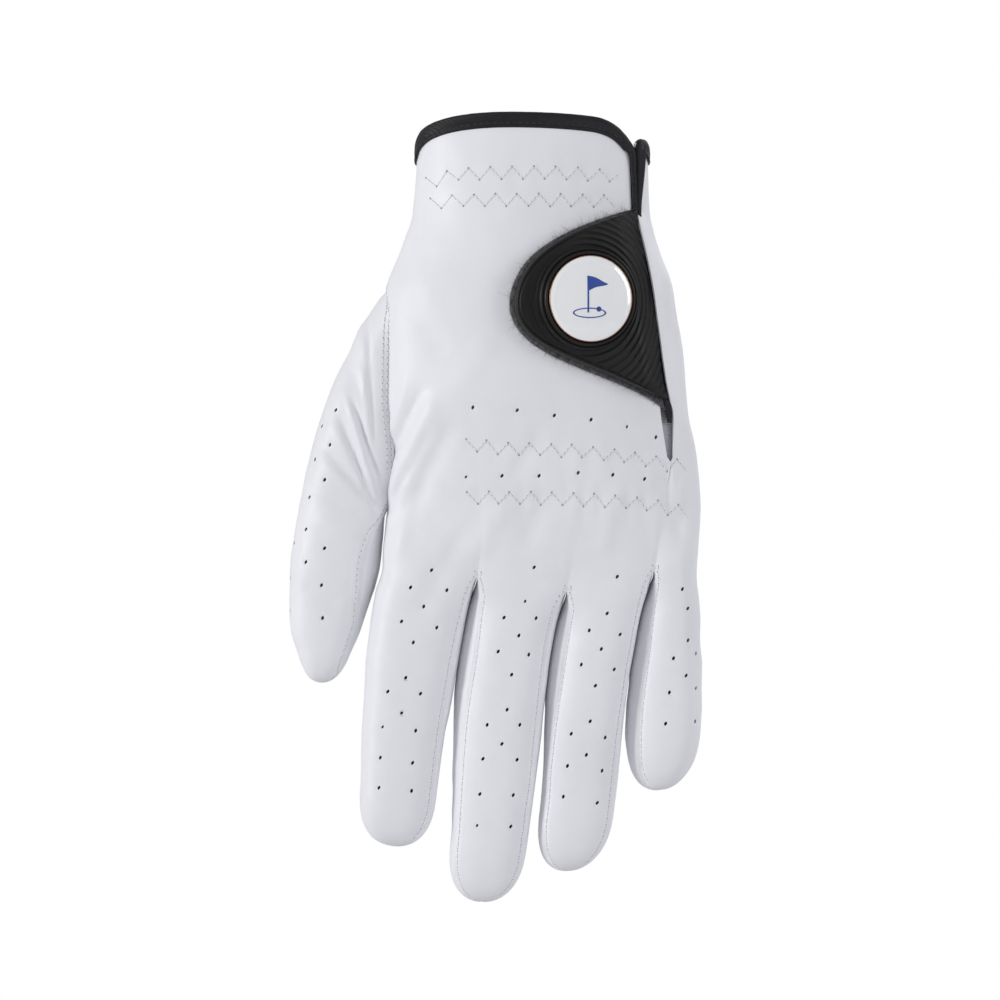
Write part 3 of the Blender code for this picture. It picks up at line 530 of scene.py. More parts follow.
# The back shares the side lines with the palm, except beside the thumb.
back_idx, palm_idx = GRIDS[0, False].idx, GRIDS[0, True].idx
apart = surface.points[back_idx[:, 0]] - surface.points[palm_idx[:, 0]]
touching = np.linalg.norm(apart, axis=1) < 0.02
palm_idx[touching, 0] = back_idx[touching, 0]
GRIDS[3, True].idx[:, -1] = GRIDS[3, False].idx[:, -1]

# Places over a side strip: 0 on the back seam, 1 on the palm seam.
STRIP_PLACES = np.array([
    0, 0.03, 0.06, 0.10, 0.16, 0.25, 0.35, 0.45, 0.55, 0.65, 0.75, 0.84, 0.90, 0.94, 0.97, 1.0])


def edge_across(idx):
    points = surface.points[idx]
    return to_fingers(points[:, 0], points[:, 2])[0]


def side_strip(back_idx, palm_idx, silhouette, crest, rows, skew=lambda across, along: along):
    """A strip between a back and a palm seam that bulges to the silhouette at crest."""
    place, along = np.meshgrid(STRIP_PLACES, rows)
    back, palm = edge_across(back_idx)[:, None], edge_across(palm_idx)[:, None]
    edge = back + (palm - back) * smooth(place)
    out = silhouette[:, None]
    fall = np.abs((place - crest) / np.where(place < crest, crest, 1 - crest)) ** 2.0
    across = out - (out - edge) * fall
    back_y_, palm_y = surface.points[back_idx, 1][:, None], surface.points[palm_idx, 1][:, None]
    y = back_y_ + (palm_y - back_y_) * place
    x, z = to_xz(across, skew(across, along))
    idx = surface.put(np.stack((x, y, z), -1))
    idx[:, 0], idx[:, -1] = back_idx, palm_idx
    return Record(idx=idx, along=rows)


def finger_strip(n, side, gap):
    crotch = CROTCHES[gap]
    first = row_at(crotch)
    rows = GRIDS[n, False].along[first:]
    silhouette = finger_lines(n, rows)[0][side]
    # A finger's right side bulges high and the next one's left side low, so that they lap
    # without touching.
    if side == 0:
        lap = smooth((rows - crotch - 1) / 6) * (1 - smooth((rows - LAP_ENDS[gap]) / 6))
        silhouette = silhouette - 0.34 * lap
    swing = smooth((rows - crotch) / 5) * (1 - smooth((rows - FINGERS[n].round_from) / 10))
    crest = (0.5 - 0.15 * (2 * side - 1) * swing)[:, None]
    back_idx, palm_idx = (GRIDS[n, palm].idx[first:, -side] for palm in (False, True))
    return side_strip(
        back_idx, palm_idx, silhouette, crest, rows,
        lambda across, along: skewed(n, across, along))


STRIPS = {(n, side): finger_strip(n, side, gap) for n in range(4) for side, gap in gaps_of(n)}
for n in range(3):
    STRIPS[n + 1, 0].idx[0, 1:-1] = STRIPS[n, 1].idx[0, 1:-1]

for (n, palm), grid in GRIDS.items():
    surface.add_quads(
        grid, not palm, lambda along: finger_piece(FINGERS[n], along, hand_kind(palm)))
for (n, side), strip in STRIPS.items():
    surface.add_quads(
        strip, side == 1,
        lambda along: finger_piece(FINGERS[n], along, GAP_PIECES[n - 1 + side]))
for n, finger in enumerate(FINGERS):
    loop = list(GRIDS[n, False].idx[-1])
    if n < 3:
        loop += list(STRIPS[n, 1].idx[-1][1:-1])
    palm_end = list(GRIDS[n, True].idx[-1][::-1])
    loop += palm_end[1:] if n == 3 else palm_end
    if n > 0:
        loop += list(STRIPS[n, 0].idx[-1][1:-1][::-1])
    else:
        loop = loop[:-1]
    surface.cap(loop, f"{finger.name}_fingertip", True)

# ---------------------------------------------------------------- thumb
# An arc under the hand's two seams, then a tube with a gusset beside the hand.
# Stations by "along": across for the edges and the seam, half thickness, and seam angle.
THUMB_LEFT = curve(
    (-54, -46.2), (-50, -48.2), (-46, -51.0), (-30, -57.8), (-17, -61.8), (0, -65.0),
    (15, -66.4), (30, -67.0), (40, -66.2), (46.7, -65.4), (52.4, -64.2), (57.6, -61.9),
    (62, -60.4), (66, -59.8))
THUMB_RIGHT = curve(
    (-54, -45.0), (-46, -47.6), (-30, -46.4), (-17, -45.2), (0, -44.0), (8, -42.7),
    (14, -41.7), (22, -41.1), (30.7, -41.0), (36, -41.6), (40, -42.4), (44, -43.2),
    (50, -44.4), (56, -46.2), (62, -47.8), (66, -48.5))
THUMB_DEPTH = curve(
    (-54, 3.0), (-46, 5.0), (-30, 8.6), (-10, 10.2), (20, 9.8), (34, 9.0), (50, 7.8), (62, 7.0))
THUMB_SEAM = curve(
    (8, -43.4), (17.5, -43.6), (20.7, -44.8), (25.8, -45.9), (31.4, -46.4), (38.9, -46.0),
    (47, -45.9), (52.7, -46.9), (59.7, -48.6), (66, -49.6))
THUMB_ANGLE = curve((-54, 60), (-46, 70), (-30, 62), (-10, 48), (7, 34), (14, 34))
THUMB_START, THUMB_ROUND_FROM, THUMB_TIP = -54, 57.0, 65.9
GUSSET_START = 7.0
THUMB_Y = 3.0
THUMB_POWER = 0.8  # exponent of the tube's cosine and sine


def thumb_lines(along):
    """Middle, half width, depth and seam angle of the thumb."""
    left, right = THUMB_LEFT(along), THUMB_RIGHT(along)
    end = np.clip((along - THUMB_ROUND_FROM) / (THUMB_TIP - THUMB_ROUND_FROM), 0, 1)
    narrow = np.maximum(0.02, (1 - end**END_POWER) ** 0.45)
    depth = THUMB_DEPTH(along) * np.maximum(0.02, (1 - end**END_POWER) ** 0.5)
    middle, half = (left + right) / 2, (right - left) / 2 * narrow
    ratio = (THUMB_SEAM(along) - middle) / half / np.maximum(narrow, 0.5) * narrow
    own = np.degrees(np.arccos(signed_power(np.clip(ratio, -0.95, 0.95), 1 / THUMB_POWER)))
    angle = THUMB_ANGLE(along)
    return middle, half, depth, np.radians(angle + (own - angle) * smooth((along - 8) / 12))


def thumb_seam_points(along, palm):
    """The hand's seam beside the thumb, a little under the hide."""
    z = line_z(-43.0, along)
    for _ in range(5):
        phi = np.radians((PALM_PHI if palm else SEAM_PHI)(z)) + (0.1 if palm else -0.1)
        x, y = section(phi, z, 0.02)
        z = line_z(x, along)
    return np.stack((x, y, z), -1)


def thumb_grid():
    rows = np.array(
        list(np.arange(THUMB_START, THUMB_ROUND_FROM + 0.5, 0.6))
        + end_rows(THUMB_ROUND_FROM, THUMB_TIP))
    places = spaced(True, True, 120)
    size = len(places)
    # Three more places in each step near the two seams.
    finer = [
        places[a:b] + (places[a + 1 : b + 1] - places[a:b]) * share
        for a, b in ((4, 12), (size - 13, size - 5))
        for share in (0.25, 0.5, 0.75)]
    places = np.sort(np.concatenate([places] + finer))
    place, along = np.meshgrid(places, rows)
    middle, half, depth, angle = thumb_lines(along)
    phi = angle + (2 * PI - 2 * angle) * place
    x, z = to_xz(middle + half * signed_power(np.cos(phi), THUMB_POWER), along)
    y = THUMB_Y - depth * signed_power(np.sin(phi), THUMB_POWER)
    tube = np.stack((x, y, z), -1)
    # Both edges are drawn to the hand's seams, less and less past 8 mm along.
    hold = (1 - smooth((rows - 8) / 12))[:, None]
    to_back, to_palm = (
        (thumb_seam_points(rows, palm) - tube[:, -int(palm)]) * hold for palm in (False, True))
    near_back = (1 - smooth(places / 0.30))[None, :, None]
    near_palm = (1 - smooth((1 - places) / 0.30))[None, :, None]
    tube = tube + to_back[:, None, :] * near_back + to_palm[:, None, :] * near_palm
    return Record(idx=surface.put(tube), along=rows)


def thumb_gusset():
    first = int(np.argmin(np.abs(THUMB.along - GUSSET_START)))
    rows = THUMB.along[first:]
    back_idx, palm_idx = THUMB.idx[first:, 0], THUMB.idx[first:, -1]
    middle, half, _, _ = thumb_lines(rows)
    seams = np.maximum(edge_across(back_idx), edge_across(palm_idx))
    silhouette = np.maximum(middle + half, seams + 0.05 * half)
    return side_strip(back_idx, palm_idx, silhouette, 0.5, rows)


THUMB = thumb_grid()
GUSSET = thumb_gusset()
surface.add_quads(THUMB, False, thumb_piece)
surface.add_quads(GUSSET, True, thumb_piece)
surface.cap(list(THUMB.idx[-1]) + list(GUSSET.idx[-1][1:-1][::-1]), "thumb_end_hide", False)

points = surface.points
quads = np.concatenate(surface.quads)
quad_names = np.array(surface.quad_names)
PIECES = sorted(set(surface.quad_names) | set(surface.tri_names))


def normals_of(points, quads, tris=()):
    normals = np.zeros_like(points)
    area = np.cross(
        points[quads[:, 2]] - points[quads[:, 0]], points[quads[:, 3]] - points[quads[:, 1]])
    for k in range(4):
        np.add.at(normals, quads[:, k], area)
    if len(tris):
        tris = np.asarray(tris)
        a, b, c = (points[tris[:, k]] for k in range(3))
        area = np.cross(b - a, c - a)
        for k in range(3):
            np.add.at(normals, tris[:, k], area)
    return normals / np.maximum(np.linalg.norm(normals, axis=1), 1e-12)[:, None]


def round_cuff_corners():
    for n, name in ((2, "ring"), (3, "little")):
        idx = GRIDS[n, False].idx[: HAND_ROWS + 1]
        x, z = points[idx, 0], points[idx, 2]
        distance = x - (SLIT(z) + SLIT_FLAP(z)) if n == 3 else (SLIT(z) - SLIT_BACK(z)) - x
        fall = corner_fall(name, distance) * (1 - smooth((z[:1] - z) / 16))
        points[idx, 1] += back_y(x, z - fall) - back_y(x, z)
        points[idx, 2] = z - fall


def soften_valleys():
    """Relaxes y between the fingers above their crotches, and where the palm goes flat."""
    edges = np.concatenate([quads[:, [k, (k + 1) % 4]] for k in range(4)])
    across, along = to_fingers(points[:, 0], points[:, 2])
    soft = np.zeros(len(points))
    for bound, crotch in zip(BOUNDS, CROTCHES):
        near = bell(across - bound(along), 5.0)
        fade = smooth((crotch - 0.5 - along) / 6) * smooth((along + 12) / 10)
        soft = np.maximum(soft, near * fade)
    y = points[:, 1]
    palm = np.where(y > 8, smooth((8 - along) / 12) * smooth((y - 8) / 3), 0)
    soft = np.maximum(soft, palm)
    soft[THUMB.idx.ravel()] = 0
    degree = np.bincount(edges.ravel(), minlength=len(points)).astype(float)
    for _ in range(40):
        total = np.zeros(len(points))
        np.add.at(total, edges[:, 0], points[edges[:, 1], 1])
        np.add.at(total, edges[:, 1], points[edges[:, 0], 1])
        points[:, 1] += (total / np.maximum(degree, 1) - points[:, 1]) * soft * 0.7


round_cuff_corners()
soften_valleys()

# ---------------------------------------------------------------- seams, folds and gathers
# All of them move the surface along its normal by "rise".
normals = normals_of(points, quads, surface.tris)
rise = np.zeros(len(points))


def seam_groove(grid, sides, start, tip, puff=0.16):
    """A groove on a grid's left (0) or right (1) edge with a soft puff beside it."""
    strength = smooth((grid.along - start) / 6) * smooth((tip - 1.2 - grid.along) / 6)
    run = run_of(points[grid.idx])
    for side in sides:
        distance = run[:, -1:] - run if side else run
        shape = -0.42 * bell(distance, 0.5) + puff * bell(distance - 1.5, 0.8)
        shape = shape * strength[:, None]
        inner = slice(None, -1) if side else slice(1, None)
        rise[grid.idx[:, inner]] += shape[:, inner]
        border = grid.idx[:, -side]
        rise[border] = np.minimum(rise[border], shape[:, -side])


for n, finger in enumerate(FINGERS):
    for palm in (False, True):
        for side, gap in gaps_of(n):
            seam_groove(GRIDS[n, palm], [side], CROTCHES[gap], finger.tip)
for (n, side), strip in STRIPS.items():
    seam_groove(strip, [0, 1], strip.along[0], FINGERS[n].tip, puff=0.1)
seam_groove(THUMB, [0, 1], 9, THUMB_TIP)
seam_groove(GUSSET, [0, 1], 9, THUMB_TIP, puff=0.1)


def ridge(x, z, x0, z0, x1, z1, width, amount):
    """A soft fold along a line, fading at its ends."""
    dx, dz = x1 - x0, z1 - z0
    length = math.hypot(dx, dz)
    place = ((x - x0) * dx + (z - z0) * dz) / length**2
    distance = ((x - x0) * dz - (z - z0) * dx) / length
    fade = smooth(place / 0.3 + 0.5) * smooth((1 - place) / 0.3 + 0.5)
    return amount * bell(np.abs(distance), width) * np.where((place > -0.3) & (place < 1.3), fade, 0)


def waves(x, y, z, scale, seed, octaves=5):
    """Sine waves in random directions, near "scale" long."""
    draw = np.random.default_rng(seed)
    total = 0
    for _ in range(octaves):
        way = draw.normal(size=3)
        way = way / np.linalg.norm(way) * 2 * PI / (scale * draw.uniform(0.7, 1.5))
        total = total + np.sin(x * way[0] + y * way[1] + z * way[2] + draw.uniform(0, 6.3))
    return total / octaves


all_x, all_y, all_z = points.T
dorsal = normals[:, 1] < 0.2
on_thumb = np.zeros(len(points), bool)
for grid in (THUMB, GUSSET):
    on_thumb[grid.idx] = True
on_back = dorsal & ~on_thumb
on_strip = np.zeros(len(points), bool)
for strip in STRIPS.values():
    on_strip[strip.idx[:, 1:-1]] = True
unevenness = (
    0.28 * waves(all_x, all_y, all_z, scale=26, seed=3)
    + 0.08 * waves(all_x, all_y, all_z, scale=8, seed=4, octaves=7))
rise += np.where(on_strip, 0, unevenness)

# Folds: x0, z0, x1, z1, width and amount.
HAND_FOLDS = (
    (-28, -78, -41, -106, 2.6, 0.55), (-32.5, -76, -42.5, -97, 1.6, -0.45),
    (-24, -86, -37, -112, 3.2, -0.35), (-13, -62, -30, -88, 4.0, 0.25),
    (-8, -108, -16, -122, 3.5, 0.3), (4, -106, -3, -121, 3.0, -0.25),
    (24, -104, 20, -122, 3.0, 0.25), (2, -88, -6, -101, 2.4, -0.2),
    (38, -100, 43, -118, 2.4, -0.3), (-20, -116, -33, -140, 3.0, -0.25),
    (-34, -100, -39, -122, 2.2, 0.3), (-37, -50, -26, -66, 4.0, -0.25),
    (40, -40, 38, -62, 2.2, 0.3), (45, -96, 41, -112, 2.0, 0.3),
    (-36.6, -73, -43.0, -91.5, 1.3, 0.22), (-38.8, -75, -44.0, -91, 1.2, -0.16),
    (-27.3, -86.5, -41.0, -113, 1.5, 0.22), (-29.6, -87, -42.0, -110, 1.4, -0.16),
    (-37.3, -90, -41.0, -108, 1.2, 0.14), (40.6, -97, 40.0, -109, 1.0, 0.25),
)
HAND_FOLD_GAIN = 2.1
THUMB_FOLDS = (
    (-47.8, -58, -45.9, -97, 0.9, -0.45), (-49.4, -70.0, -45.7, -98.0, 1.1, 0.60),
    (-52.6, -78.0, -45.2, -99.5, 1.0, -0.85), (-53.2, -79.0, -45.2, -108.0, 1.25, 1.00),
    (-55.8, -84.0, -45.4, -108.5, 1.2, -0.80), (-57.5, -86.5, -46.6, -109.5, 1.3, 0.40),
    (-60.5, -92.0, -45.2, -109.5, 1.4, -0.60), (-61.0, -96.5, -44.5, -111.5, 1.7, 0.50),
    (-64, -104, -49, -112.0, 1.6, -0.35), (-52, -48, -48.5, -66, 2.0, 0.40),
    (-55, -60, -51.5, -76, 2.2, -0.30), (-62, -112, -50, -118, 2.4, 0.35),
    (-66, -132, -56, -137, 2.8, -0.30),
)
for folds, where, gain in (
        (HAND_FOLDS, on_back & ~on_strip, HAND_FOLD_GAIN), (THUMB_FOLDS, on_thumb & dorsal, 1)):
    for fold in folds:
        rise += np.where(where, gain * ridge(all_x, all_z, *fold), 0)

# Rows of stitching over the elastics, two at the wrist and two at the knuckles: z by x, the
# gathered stretch of x, the sewn stretch of x, the zigzag's period and the ripples' seed.
ELASTIC_ROWS = (
    Record(z_of=curve((-31, -15.8), (-20, -13.2), (0, -13.0), (20, -13.5), (26, -14.6)),
           gathered=(-32, 26), sewn=(-31.0, 25.6), period=6.25, seed=20),
    Record(z_of=curve((-31, -21.9), (-20, -20.9), (0, -20.9), (20, -21.0), (26, -21.2)),
           gathered=(-32, 26), sewn=(-29.6, 24.8), period=6.25, seed=21),
    Record(z_of=curve((-20, -91.4), (-10, -92.2), (5, -92.8), (20, -93.9), (32, -95.6),
                      (39, -97.2), (46, -97.7)),
           gathered=(-20, 48), sewn=(-19.4, 46.0), period=6.1, seed=30),
    Record(z_of=curve((-20, -106.9), (-10, -106.6), (5, -106.9), (20, -107.4), (32, -108.4),
                      (40, -110.2), (48, -111.4)),
           gathered=(-20, 48), sewn=(-19.0, 48.0), period=6.1, seed=31),
)
# Puckers on each row: a groove along it and short ripples across it.
for row in ELASTIC_ROWS:
    x0, x1 = row.gathered
    off_row = all_z - row.z_of(all_x)
    inside = smooth((all_x - x0) / 3 + 0.5) * smooth((x1 - all_x) / 3 + 0.5) * on_back
    ripple = waves(all_x, all_x * 0, all_z * 0.15, scale=5.5, seed=row.seed, octaves=4)
    groove = bell(off_row, 2.1) * (-0.22 + 0.1 * ripple)
    rise += inside * (groove + 0.14 * ripple * bell(off_row, 6.5))

# Creases at the finger joints: a middle one and two weaker ones beside it.
for (n, palm), grid in sorted(GRIDS.items()):
    for joint in FINGERS[n].joints:
        past = grid.along - joint
        crease = bell(past, 1.3) + 0.6 * bell(past - 3.2, 1.1) + 0.5 * bell(past + 3.0, 1.1)
        amount = (-0.35 if palm else -0.12) * crease
        fade = np.sin(PI * grid.places) ** 0.7
        rise[grid.idx] += amount[:, None] * fade[None, :]


def edge_distance(idx, side):
    border = idx[:, -1:] if side else idx[:, :1]
    return np.linalg.norm(points[idx] - points[border], axis=2)


# The flap's edge stands up beside the tab's sewn end, with a light wave.
flap_lift = np.zeros(len(points))
idx = GRIDS[3, False].idx[: HAND_ROWS + 1]
from_edge = edge_distance(idx, 0)
z = points[idx, 2]
flap_lift[idx] = (
    2.8 * bell(from_edge, 3.2) * smooth((-z - 22.5) / 6) * smooth((z + 88) / 14)
    + 0.30 * (1 + np.sin(z / 4.1)) * bell(from_edge, 6.0)
    * smooth((-z - 26) / 8) * smooth((z + 100) / 12))
# The hide lies flat under the cuff's and the slit's tapes.
for (n, palm), grid in GRIDS.items():
    idx = grid.idx[: HAND_ROWS + 1]
    z = points[idx, 2]
    calm = smooth((points[idx[0], 2][None, :] - z - 3.8) / 6)
    if not palm and n == 2:
        calm = calm * smooth((edge_distance(idx, 1) - 2.5) / 3)
    if not palm and n == 3:
        calm = calm * np.where(z > -104, smooth((edge_distance(idx, 0) - 2.5) / 3), 1)
    rise[idx] *= calm
points = points + normals * rise[:, None]
flap_x = np.clip(points[:, 0], 20, 44)
lifted = back_y(flap_x, points[:, 2], SHEET + flap_lift) - back_y(flap_x, points[:, 2])
points[:, 1] += np.where(flap_lift > 0.01, lifted, 0)

# ---------------------------------------------------------------- air holes
# (x, z) of each hole.
HOLES = {
    "index": (
        (-29.3, -127.5), (-35.4, -132.5), (-24.9, -133.3), (-31.6, -138.0), (-38.0, -142.3),
        (-27.8, -144.1), (-34.6, -148.4), (-36.8, -158.6), (-42.0, -162.6), (-32.5, -163.2),
        (-38.0, -168.8), (-43.5, -172.8), (-33.9, -173.9), (-44.2, -181.7), (-34.8, -183.2),
        (-44.6, -190.4), (-35.1, -191.3)),
    "middle": (
        (0.3, -126.7), (-2.3, -136.5), (-8.4, -141.2), (0.9, -141.4), (-4.1, -146.4),
        (-10.1, -151.0), (-1.2, -151.9), (-6.2, -157.7), (-7.5, -167.8), (-13.3, -172.2),
        (-3.8, -172.2), (-9.0, -177.7), (-14.5, -182.0), (-4.6, -182.3), (-15.4, -192.2),
        (-5.7, -192.5), (-16.2, -201.3), (-6.4, -201.6)),
    "ring": (
        (24.3, -129.4), (21.4, -140.0), (16.2, -144.9), (25.2, -146.1), (19.7, -150.3),
        (13.9, -154.8), (23.5, -156.2), (18.0, -160.9), (16.5, -171.2), (11.0, -174.8),
        (20.9, -175.9), (15.4, -180.9), (9.9, -184.1), (20.0, -185.5), (8.7, -193.0),
        (18.6, -194.8)),
    "little": (
        (43.2, -133.0), (44.8, -138.6), (44.9, -147.8), (40.6, -153.0), (44.3, -158.0),
        (47.2, -151.6), (39.4, -162.9), (47.2, -161.7), (38.3, -171.9), (47.0, -171.3)),
    "thumb": (
        (-57.1, -81.2), (-61.2, -85.8), (-58.8, -91.3), (-63.2, -95.5), (-60.3, -101.4),
        (-64.8, -106.4), (-65.8, -115.7), (-60.3, -121.2), (-69.3, -119.7), (-65.8, -125.2),
        (-61.2, -131.9), (-70.4, -129.9), (-60.9, -141.4), (-70.5, -139.4)),
    "back": (
        (-17.4, -80.6), (-4.6, -81.4), (6.1, -82.9), (16.7, -84.1), (27.1, -86.1), (35.5, -89.1),
        (-19.4, -100.6), (-9.0, -100.3), (1.7, -100.3), (13.0, -99.4), (23.0, -100.0),
        (32.2, -101.2)),
}
HOLE_SIDES = 12
HOLE_LONG, HOLE_SHORT, HOLE_SINK = 0.62, 0.40, 0.12
HOLE_TILT, HOLE_TILT_SPREAD = -62, 12  # degrees
face_centres = points[quads].mean(1)
face_normals = np.cross(
    points[quads[:, 2]] - points[quads[:, 0]], points[quads[:, 3]] - points[quads[:, 1]])
face_normals /= np.maximum(np.linalg.norm(face_normals, axis=1), 1e-12)[:, None]
kept = np.ones(len(quads), bool)
thumb_faces = np.char.startswith(quad_names, "thumb")
hole_rings = []


def open_edges(faces):
    """Edges that only one face uses, in that face's direction."""
    seen = {}
    for face in faces:
        for a, b in zip(face, face[1:] + face[:1]):
            if (b, a) in seen:
                del seen[b, a]
            else:
                seen[a, b] = True
    return list(seen)


def cut_hole(x, z, allowed):
    """Takes out the faces round a place and fills in up to a small sunk oval."""
    facing = allowed & kept & (face_normals[:, 1] < -0.1)
    distance = (face_centres[:, 0] - x) ** 2 + (face_centres[:, 2] - z) ** 2
    distance = np.where(facing, distance, 1e9)
    nearest = int(np.argmin(distance))
    if distance[nearest] > 2.0:
        return
    normal, near = face_normals[nearest], face_centres[nearest]
    y = near[1] - ((x - near[0]) * normal[0] + (z - near[2]) * normal[2]) / normal[1]
    centre = np.array([x, y, z])
    away = np.linalg.norm(face_centres - centre, axis=1)
    corner = np.linalg.norm(points[quads] - centre, axis=2).min(1)
    gone = np.where(facing & (away < 3.0) & ((away < 0.95) | (corner < 0.82)))[0]
    # A place on the border between two pieces, or without one clean rim, gets no hole.
    if len(set(quad_names[gone])) != 1:
        return
    following = dict(open_edges(quads[gone].tolist()))
    start = next(iter(following))
    chain = [start]
    while following[chain[-1]] != start and len(chain) < 200:
        chain.append(following[chain[-1]])
    if len(chain) != len(following):
        return
    kept[gone] = False
    side_way = np.cross([0, 0, 1.0], normal)
    side_way = side_way / np.linalg.norm(side_way)
    up_way = np.cross(normal, side_way)
    tilt = math.radians(HOLE_TILT + rng.uniform(-HOLE_TILT_SPREAD, HOLE_TILT_SPREAD))
    size = 0.8 if rng.random() < 0.12 else 1.0
    ring = []
    for k in range(HOLE_SIDES):
        angle = 2 * PI * k / HOLE_SIDES
        long = HOLE_LONG * size * math.cos(angle)
        short = HOLE_SHORT * size * math.sin(angle)
        u = -(long * math.cos(tilt) - short * math.sin(tilt))
        v = long * math.sin(tilt) + short * math.cos(tilt)
        ring.append(centre + side_way * u + up_way * v - normal * HOLE_SINK)

    def angles(places):
        return np.array([
            math.atan2((p - centre) @ up_way, (p - centre) @ side_way) for p in places])

    outer, inner = angles(points[chain]), angles(ring)
    if np.sum(np.diff(np.unwrap(outer))) < 0:
        chain, outer = chain[::-1], outer[::-1]
    order = np.argsort(inner)
    inner = inner[order]
    first = int(np.argmin(outer))
    chain = chain[first:] + chain[:first]
    outer = np.roll(outer, -first)
    base = len(points) + HOLE_SIDES * len(hole_rings)
    hole_rings.append(np.array(ring)[order])
    # Triangles between the rim and the oval, always stepping on at the nearer angle.
    count = len(chain)
    i = j = 0
    while i < count or j < HOLE_SIDES:
        next_outer = outer[i + 1] if i + 1 < count else outer[0] + 2 * PI
        next_inner = inner[j + 1] if j + 1 < HOLE_SIDES else inner[0] + 2 * PI
        if i < count and (next_outer <= next_inner or j >= HOLE_SIDES):
            surface.tris.append((chain[i], chain[(i + 1) % count], base + j % HOLE_SIDES))
            i += 1
        else:
            surface.tris.append((chain[i % count], base + (j + 1) % HOLE_SIDES, base + j))
            j += 1
        surface.tri_names.append(str(quad_names[nearest]))


for group, places in HOLES.items():
    for x, z in places:
        cut_hole(x, z, thumb_faces if group == "thumb" else ~thumb_faces)
points = np.concatenate([points] + hole_rings)
quads, quad_names = quads[kept], quad_names[kept]
tris, tri_names = np.asarray(surface.tris), np.array(surface.tri_names)
normals = normals_of(points, quads, tris)


# ---------------------------------------------------------------- materials
def shader(name, *, colour, rough, metal=0.0, spread=0.06, scale=60.0, grain=0.0,
           grain_scale=900.0, sheen=0.0, coat=0.0, stripes=None, second=None, spec=0.5):
    """A procedural material.

    The colour varies by spread at scale, up to a second colour if given. grain is the bump's
    strength: a pebbled grain at grain_scale, or stripes of (direction, scale, distortion).
    """
    material = bpy.data.materials.new(name)
    material.use_nodes = True
    nodes, link = material.node_tree.nodes, material.node_tree.links.new
    principled = nodes["Principled BSDF"]
    place = nodes.new("ShaderNodeTexCoord").outputs["Object"]

    def texture(kind, **values):
        node = nodes.new(kind)
        for socket, value in values.items():
            node.inputs[socket.replace("_", " ")].default_value = value
        link(place, node.inputs["Vector"])
        return node

    def noise(scale, detail=4.0):
        node = texture("ShaderNodeTexNoise", Scale=scale, Detail=detail, Roughness=0.55)
        return node.outputs["Fac"]

    ramp = nodes.new("ShaderNodeValToRGB")
    low, high = ramp.color_ramp.elements
    low.color = (*(max(0.0, c * (1 - spread)) for c in colour), 1)
    high.color = (*(min(1.0, c * (1 + spread)) for c in second or colour), 1)
    low.position = 0.3
    high.position = 0.7
    link(noise(scale), ramp.inputs["Fac"])
    link(ramp.outputs["Color"], principled.inputs["Base Color"])
    roughness = nodes.new("ShaderNodeMapRange")
    roughness.inputs["To Min"].default_value = max(0.02, rough - 0.08)
    roughness.inputs["To Max"].default_value = min(1.0, rough + 0.08)
    link(noise(scale * 4), roughness.inputs["Value"])
    link(roughness.outputs["Result"], principled.inputs["Roughness"])
    for socket, value in {
            "Metallic": metal, "Specular IOR Level": spec, "Coat Weight": coat,
            "Coat Roughness": 0.04, "Sheen Weight": sheen, "Sheen Roughness": 0.5}.items():
        principled.inputs[socket].default_value = value
    if grain == 0:
        return material
    bump = nodes.new("ShaderNodeBump")
    bump.inputs["Strength"].default_value = grain
    bump.inputs["Distance"].default_value = 0.0002
    if stripes:
        direction, stripe_scale, distortion = stripes
        wave = texture("ShaderNodeTexWave", Scale=stripe_scale, Distortion=distortion,
                       Detail=2.0, Detail_Scale=4.0)
        wave.wave_type = "BANDS"
        wave.bands_direction = direction
        height = wave.outputs["Fac"]
    else:
        cells = texture("ShaderNodeTexVoronoi", Scale=grain_scale)
        cells.feature = "F1"
        total = nodes.new("ShaderNodeMath")
        total.operation = "ADD"
        link(cells.outputs["Distance"], total.inputs[0])
        link(noise(grain_scale * 0.4, 6.0), total.inputs[1])
        height = total.outputs[0]
    link(height, bump.inputs["Height"])
    link(bump.outputs["Normal"], principled.inputs["Normal"])
    return material


LEATHER = shader(
    "glove_leather", colour=(0.80, 0.803, 0.835), rough=0.46, spread=0.022, scale=45,
    grain=0.10, grain_scale=1100, sheen=0.06, spec=0.35)
THREAD = shader(
    "white_thread", colour=(0.77, 0.775, 0.805), rough=0.6, scale=900, grain=0.25,
    stripes=("DIAGONAL", 900.0, 0.5))
# Painted shade: grey for the discs at the needle holes, standing in for the shade inside each hole.
NEEDLE_HOLE_SHADE = shader(
    "needle_hole", colour=(0.36, 0.36, 0.40), rough=0.8, spread=0.15, scale=500, grain=0.1)
TAPE = shader(
    "tape_black", colour=(0.0062, 0.0062, 0.0085), rough=0.52, spread=0.35, scale=350,
    grain=0.5, stripes=("DIAGONAL", 700.0, 0.6), sheen=0.05, spec=0.3)
TAPE_THREAD = shader(
    "tape_thread", colour=(0.016, 0.016, 0.020), rough=0.5, spread=0.3, scale=700, grain=0.3,
    stripes=("DIAGONAL", 900.0, 0.5))
RUBBER = shader(
    "rubber_black", colour=(0.0062, 0.0062, 0.0066), rough=0.48, spread=0.22, scale=160,
    grain=0.12, grain_scale=1500, spec=0.30)
BEZEL = shader(
    "rubber_bezel", colour=(0.0065, 0.0055, 0.0052), rough=0.42, spread=0.2, scale=200,
    grain=0.05, grain_scale=1500, spec=0.28)
LOOP = shader(
    "loop_grey", colour=(0.030, 0.030, 0.031), rough=0.95, spread=0.45, scale=900, grain=0.8,
    grain_scale=1400, sheen=0.35, second=(0.075, 0.075, 0.078))
FIBRE = shader(
    "loop_fibre", colour=(0.055, 0.055, 0.058), rough=0.9, spread=0.5, scale=600, sheen=0.3,
    second=(0.15, 0.15, 0.155))
